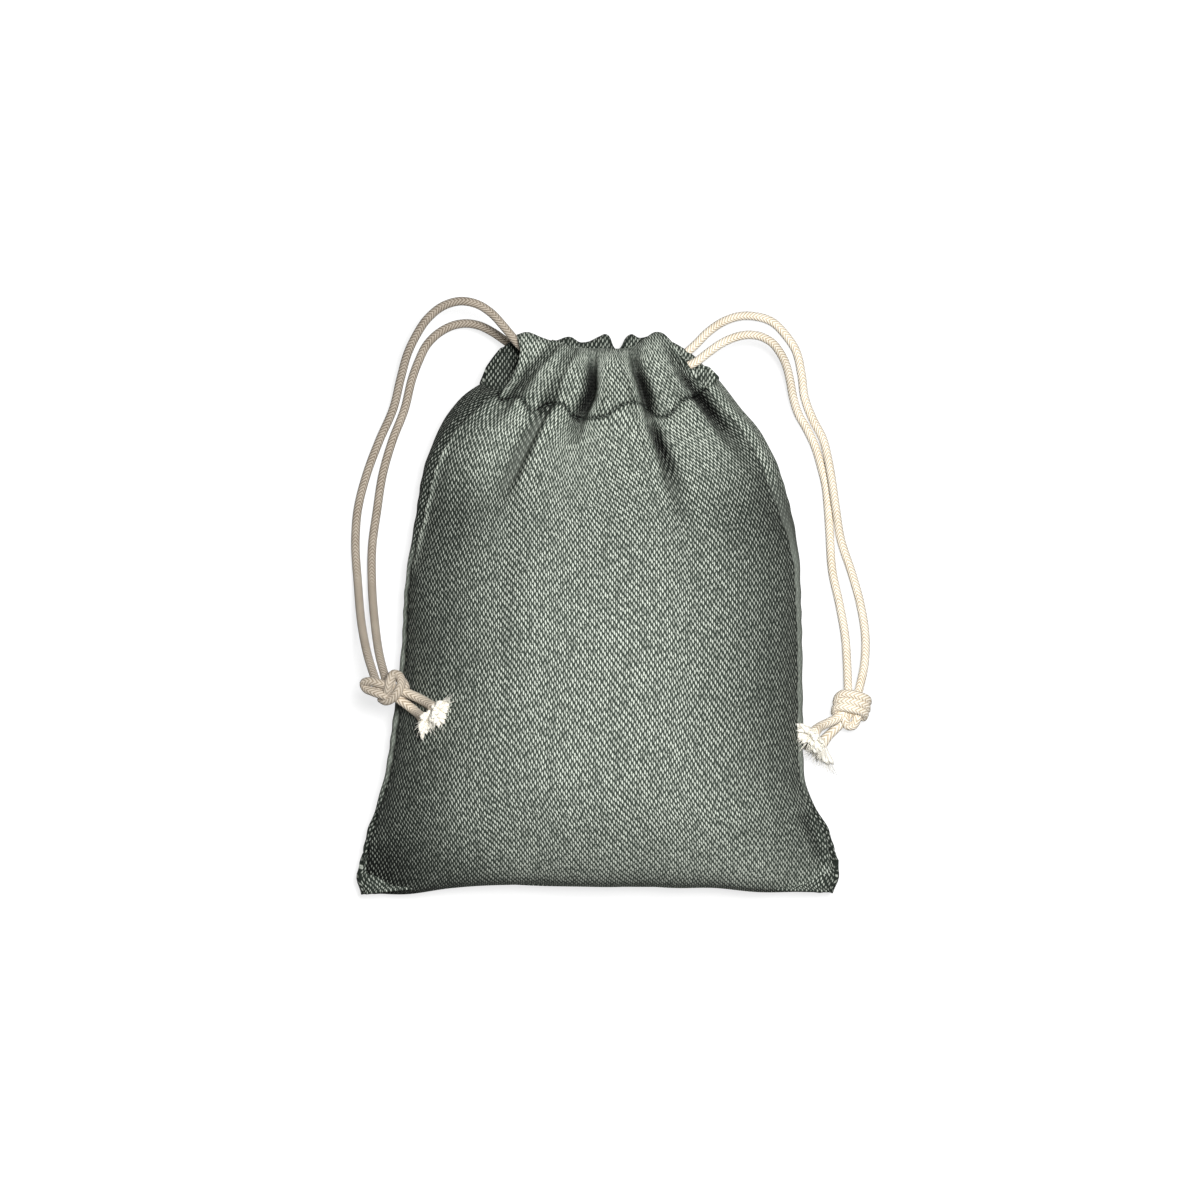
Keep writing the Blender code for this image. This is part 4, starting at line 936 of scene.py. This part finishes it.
right_front_route = [
    (-7.0, 77.2, 22.4), (0.0, 77.0, 22.4), (8.0, 76.9, 22.8), (15.0, 76.9, 23.4), (21.0, 76.8, 23.8),
    (26.4, 76.9, 23.8), (30.4, 78.5, 23.8), (34.7, 81.7, 23.4), (38.2, 84.2, 22.6), (42.5, 86.3, 21.4),
    (46.8, 87.3, 19.6), (50.6, 87.0, 17.8), (54.7, 85.0, 15.4), (57.2, 82.1, 12.8), (59.2, 78.4, 10.0), (60.6, 73.4, 7.0),
    (61.6, 68.3, 4.8), (63.2, 63.3, 3.0), (66.0, 58.3, 1.9), (68.4, 53.3, 1.6), (70.7, 45.8, 1.6),
    (71.9, 40.8, 1.6), (72.7, 33.2, 1.6), (73.2, 25.7, 1.6), (74.1, 13.2, 1.6), (76.3, 3.1, 1.6),
    (78.2, -8.2, 2.2), (78.6, -15.0, 3.8), (78.9, -26.0, 6.6),
]
right_back_route = [
    (-7.0, 77.6, 10.0), (6.0, 77.8, 10.0), (16.0, 78.0, 10.2), (21.6, 78.6, 11.0), (25.6, 80.3, 11.6),
    (30.2, 84.0, 11.2), (34.7, 88.5, 9.4), (39.7, 92.0, 6.6), (45.0, 93.8, 4.4), (49.7, 93.8, 2.8),
    (54.7, 92.3, 2.0), (59.7, 87.5, 1.6), (62.4, 83.4, 1.6), (64.3, 75.9, 1.6), (65.4, 68.0, 1.6),
    (68.2, 60.8, 1.9), (70.8, 55.8, 2.6), (72.8, 48.0, 3.7), (74.0, 40.8, 4.2), (75.1, 33.2, 3.6),
    (76.8, 23.2, 2.0), (80.1, 13.2, 1.6), (82.9, 3.1, 1.6), (84.5, -8.2, 2.2), (84.2, -15.0, 3.8),
    (81.8, -26.0, 6.6),
]
strand_routes = {
    "left_cord_front_strand": left_front_route,
    "left_cord_back_strand": left_back_route,
    "right_cord_front_strand": right_front_route,
    "right_cord_back_strand": right_back_route,
}
strands, strand_lines = {}, {}
for name, points in strand_routes.items():
    strand_lines[name] = route(points)
    cord_material = cord_materials[name.split("_")[0]]
    strands[name] = place(name + "_braid", braid(name + "_braid", strand_lines[name]), cord_material)

# Where each cord turns from the front sleeve into the back one, at the side away from its knot
turns = {
    "left_cord_crossing": [
        (10.0, 80.2, 22.7), (16.0, 80.4, 22.8), (19.6, 80.6, 21.8), (21.6, 80.8, 19.6), (22.2, 80.8, 16.8),
        (21.6, 80.8, 13.8), (19.6, 80.8, 11.4), (16.0, 80.8, 10.3), (10.0, 81.0, 10.0),
    ],
    "right_cord_crossing": [
        (-10.0, 77.2, 22.4), (-15.0, 77.4, 22.5), (-18.6, 77.6, 21.6), (-20.6, 77.8, 19.4), (-21.2, 77.8, 16.6),
        (-20.6, 77.8, 13.6), (-18.6, 77.8, 11.3), (-15.0, 77.8, 10.2), (-10.0, 77.8, 10.0),
    ],
}
for name, points in turns.items():
    cord_material = cord_materials[name.split("_")[0]]
    turn = place(name + "_braid", braid(name + "_braid", route(points), (0.0, 1.0, 0.0)), cord_material)
    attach(turn, "pouch")
    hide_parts(name)

# Knots
# Both strands of a cord are tied together in one overhand knot, drawn tight, below the pouch's middle.

knot_routes = {
    # radius, then points: a core that fills the knot, and the turns of cord that show round it
    "left_cord_knot": (
        (2.6, [(-69.6, -22.6, 29.6), (-66.4, -23.0, 30.0), (-62.8, -23.0, 29.8)]),
        (1.4, [(-64.0, -22.6, 31.6), (-68.0, -21.4, 33.2), (-71.0, -20.9, 32.2), (-72.6, -21.6, 31.0),
               (-72.1, -22.9, 31.0), (-70.0, -24.0, 32.2), (-67.2, -25.0, 32.8), (-64.2, -26.0, 31.6)]),
        (1.4, [(-65.8, -26.2, 30.4), (-65.2, -23.4, 33.4), (-64.5, -20.6, 34.0), (-63.2, -18.6, 32.6),
               (-61.6, -19.2, 31.8), (-61.0, -21.4, 32.8), (-61.8, -23.8, 33.8), (-63.4, -25.9, 33.2),
               (-65.8, -27.0, 31.4), (-67.4, -26.2, 29.8)]),
        (1.4, [(-62.6, -19.4, 29.8), (-60.4, -21.2, 30.8), (-59.7, -23.0, 31.0), (-60.4, -24.7, 31.0), (-62.0, -26.0, 30.0)]),
    ),
    "right_cord_knot": (
        (3.2, [(76.8, -28.4, 5.0), (79.6, -29.0, 5.4), (82.6, -29.4, 5.0)]),
        (1.4, [(76.2, -28.8, 6.0), (75.5, -26.8, 7.8), (77.0, -25.2, 9.6), (79.6, -25.2, 10.4), (82.5, -25.9, 10.0),
               (84.6, -26.8, 8.2), (85.0, -27.8, 5.6)]),
        (1.4, [(75.1, -28.0, 6.4), (76.8, -27.3, 9.0), (79.6, -27.4, 9.9), (82.4, -28.0, 9.4), (84.4, -29.0, 7.4),
               (84.6, -30.2, 5.0)]),
        (1.4, [(74.8, -31.2, 5.4), (75.2, -29.4, 7.8), (77.2, -29.2, 9.4), (80.2, -29.8, 9.6), (82.8, -30.6, 8.2),
               (84.0, -31.6, 6.0), (83.6, -32.6, 4.2)]),
        (1.4, [(77.9, -31.0, 7.0), (77.8, -33.4, 7.2), (78.9, -35.2, 6.4), (80.4, -35.1, 6.4), (81.5, -33.3, 6.8),
               (82.2, -30.8, 6.4)]),
    ),
}
knot_pieces = {}
for name, turns in knot_routes.items():
    parts = [braid(name + "_part", route(points, 0.35), thick=radius) for radius, points in turns]
    merged = bpy.data.meshes.new(name + "_braid")
    build = bmesh.new()
    for part in parts:
        build.from_mesh(part)
        bpy.data.meshes.remove(part)
    build.to_mesh(merged)
    build.free()
    merged.shade_smooth()
    knot_pieces[name] = place(name + "_braid", merged, knot_materials[name.split("_")[0]])

# Tails
# Below each knot the two cut ends stick out as short tails, and their last few millimetres fray into white tufts.

tuft_material = bpy.data.materials.new("frayed_cotton_fibre")
tuft_material.use_nodes = True
tree = tuft_material.node_tree
shader = tree.nodes["Principled BSDF"]
shader.inputs["Roughness"].default_value = 0.95
shader.inputs["Sheen Weight"].default_value = 0.2
spot = add(tree, "ShaderNodeTexCoord").outputs["Object"]
fibres = add(tree, "ShaderNodeTexNoise", {"Vector": spot, "Scale": 1500.0, "Detail": 2.0}).outputs["Fac"]
colour = add(tree, "ShaderNodeMix", {0: fibres, 6: linear("#EFE6D2"), 7: linear("#FFFFFA")}, data_type="RGBA").outputs[2]
tree.links.new(colour, shader.inputs["Base Color"])
bump = add(tree, "ShaderNodeBump", {"Height": fibres, "Strength": 0.3, "Distance": 0.1 * MM}).outputs[0]
tree.links.new(bump, shader.inputs["Normal"])


def front_level(x, y):
    """The front cloth's height at a place seen from above, read off its nearest point."""
    away = (front[..., 0].ravel() - x) ** 2 + (front[..., 1].ravel() - y) ** 2
    return front[..., 2].ravel()[np.argmin(away)]


def tuft(name, base, towards, length, spread, seed, floor):
    """Loose cotton at a cord's cut end: thick soft locks with fine fibres among them.

    Along each, a from 0 to 1, its place is base, plus a times its length along the cord, plus a to the power 1.4 out
    to its own side, plus a little curl. Locks are thick and round at the end, and fibres run out to a point.
    """
    chance = np.random.default_rng(seed)
    locks, count = 84, 240
    towards = np.asarray(towards) / np.linalg.norm(towards)
    side = np.cross(towards, (0.0, 0.0, 1.0))
    side /= np.linalg.norm(side)
    up = np.cross(side, towards)
    lock = np.arange(count) < locks
    heading = chance.uniform(0, 2 * math.pi, count)
    lean = spread * np.sqrt(chance.uniform(0.0, 1.0, count)) * np.where(lock, 0.9, 1.1)
    reach = length * chance.uniform(0.6, 1.0, count) * np.where(lock, 0.8, 1.0)
    root = 1.1 * np.sqrt(chance.uniform(0, 1, count))
    a = np.linspace(0.0, 1.0, 8)
    out = np.cos(heading)[:, None] * side + np.sin(heading)[:, None] * up * 0.6
    curl = chance.normal(0, 0.12, (count, 1, 3)) * reach[:, None, None] * (a**2)[None, :, None]
    line = np.asarray(base) + out[:, None] * root[:, None, None] - towards * 0.8
    line = line + towards * (reach[:, None] * a)[..., None]
    line = line + out[:, None] * (lean[:, None] * reach[:, None] * a**1.4)[..., None] + curl
    thick = np.where(lock[:, None], 0.8 * np.sqrt(1 - np.abs(2 * a - 1) ** 5), 0.10 * (1 - 0.6 * a))
    thick[:, 0] = thick[:, -1] = 0.0
    line[..., 2] = np.maximum(line[..., 2], floor + thick)
    tangent = np.gradient(line, axis=1)
    tangent /= np.linalg.norm(tangent, axis=2, keepdims=True)
    across = np.cross(tangent, (0.3, 0.2, 0.9))
    across /= np.linalg.norm(across, axis=2, keepdims=True)
    over = np.cross(across, tangent)
    sides = 5
    around = np.linspace(0, 2 * math.pi, sides + 1)[:-1]
    ring = np.cos(around)[:, None] * across[:, :, None] + np.sin(around)[:, None] * over[:, :, None]
    points = line[:, :, None] + ring * thick[:, :, None, None]
    index = np.arange(points.shape[0] * len(a) * sides).reshape(-1, len(a), sides)
    beside = np.roll(index, -1, axis=2)
    faces = np.stack([index[:, :-1], beside[:, :-1], beside[:, 1:], index[:, 1:]], axis=-1).reshape(-1, 4)
    data = bpy.data.meshes.new(name)
    data.from_pydata((points.reshape(-1, 3) * MM).tolist(), [], faces.tolist())
    data.shade_smooth()
    return weld(data)


tail_radius = 1.5
tail_plans = {
    "left_cord_upper_tail": [(-63.0, -23.2), (-59.2, -24.5), (-55.2, -26.2), (-50.0, -29.2)],
    "left_cord_lower_tail": [(-63.4, -25.4), (-61.3, -26.7), (-57.6, -29.4), (-53.6, -32.6)],
}
tail_lines = {
    "right_cord_upper_tail": [(79.0, -29.6, 6.8), (76.0, -32.4, 7.8), (72.4, -34.2, 10.6), (69.4, -35.6, 14.0), (67.6, -37.4, 17.0)],
    "right_cord_lower_tail": [(79.4, -31.0, 6.2), (77.0, -34.0, 5.8), (74.4, -36.6, 5.4), (72.2, -38.8, 5.0), (70.4, -41.2, 4.6)],
}
# How far each end frays, and how wide
frays = {
    "left_cord_lower_tail": (6.4, 0.95), "left_cord_upper_tail": (6.4, 1.05),
    "right_cord_lower_tail": (6.8, 1.6), "right_cord_upper_tail": (6.8, 1.35),
}
for name, plan in tail_plans.items():
    levels = [front_level(*spot) + tail_radius + 0.3 for spot in plan]
    levels[0] = max(30.6, levels[0] - 2.0)
    levels[1] = max(levels[1], (levels[0] + levels[2]) / 2)
    tail_lines[name] = [(*spot, level) for spot, level in zip(plan, levels)]
tails, tufts = {}, {}
for number, (name, points) in enumerate(sorted(tail_lines.items())):
    line = route(points)
    data = braid(name + "_braid", line, thick=tail_radius, flare=0.25, slack=1.4)
    tails[name] = place(name + "_braid", data, tail_materials[name.split("_")[0]])
    floor = 0.2 if name.startswith("right") else line[-1, 2] - 1.3
    data = tuft(name + "_fray", line[-1], line[-1] - line[-6], *frays[name], 40 + number, floor)
    tufts[name] = place(name + "_fray", data, tuft_material)

for side, pull_side in (("left", -1.0), ("right", 1.0)):
    body = side + "_drawcord"
    on_knot = [knot_pieces[side + "_cord_knot"]]
    for part in ("upper", "lower"):
        tail = tails[f"{side}_cord_{part}_tail"]
        fray = tufts[f"{side}_cord_{part}_tail"]
        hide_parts(f"{side}_cord_{part}_tail")
        on_knot += [tail, fray]
    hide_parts(side + "_cord_knot")
    for part in ("front", "back"):
        name = f"{side}_cord_{part}_strand"
        strand, line = strands[name], strand_lines[name]
        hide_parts(name)
    for piece in on_knot + [strands[f"{side}_cord_front_strand"], strands[f"{side}_cord_back_strand"]]:
        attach(piece, body)

# Size of the dressed model
low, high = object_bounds()
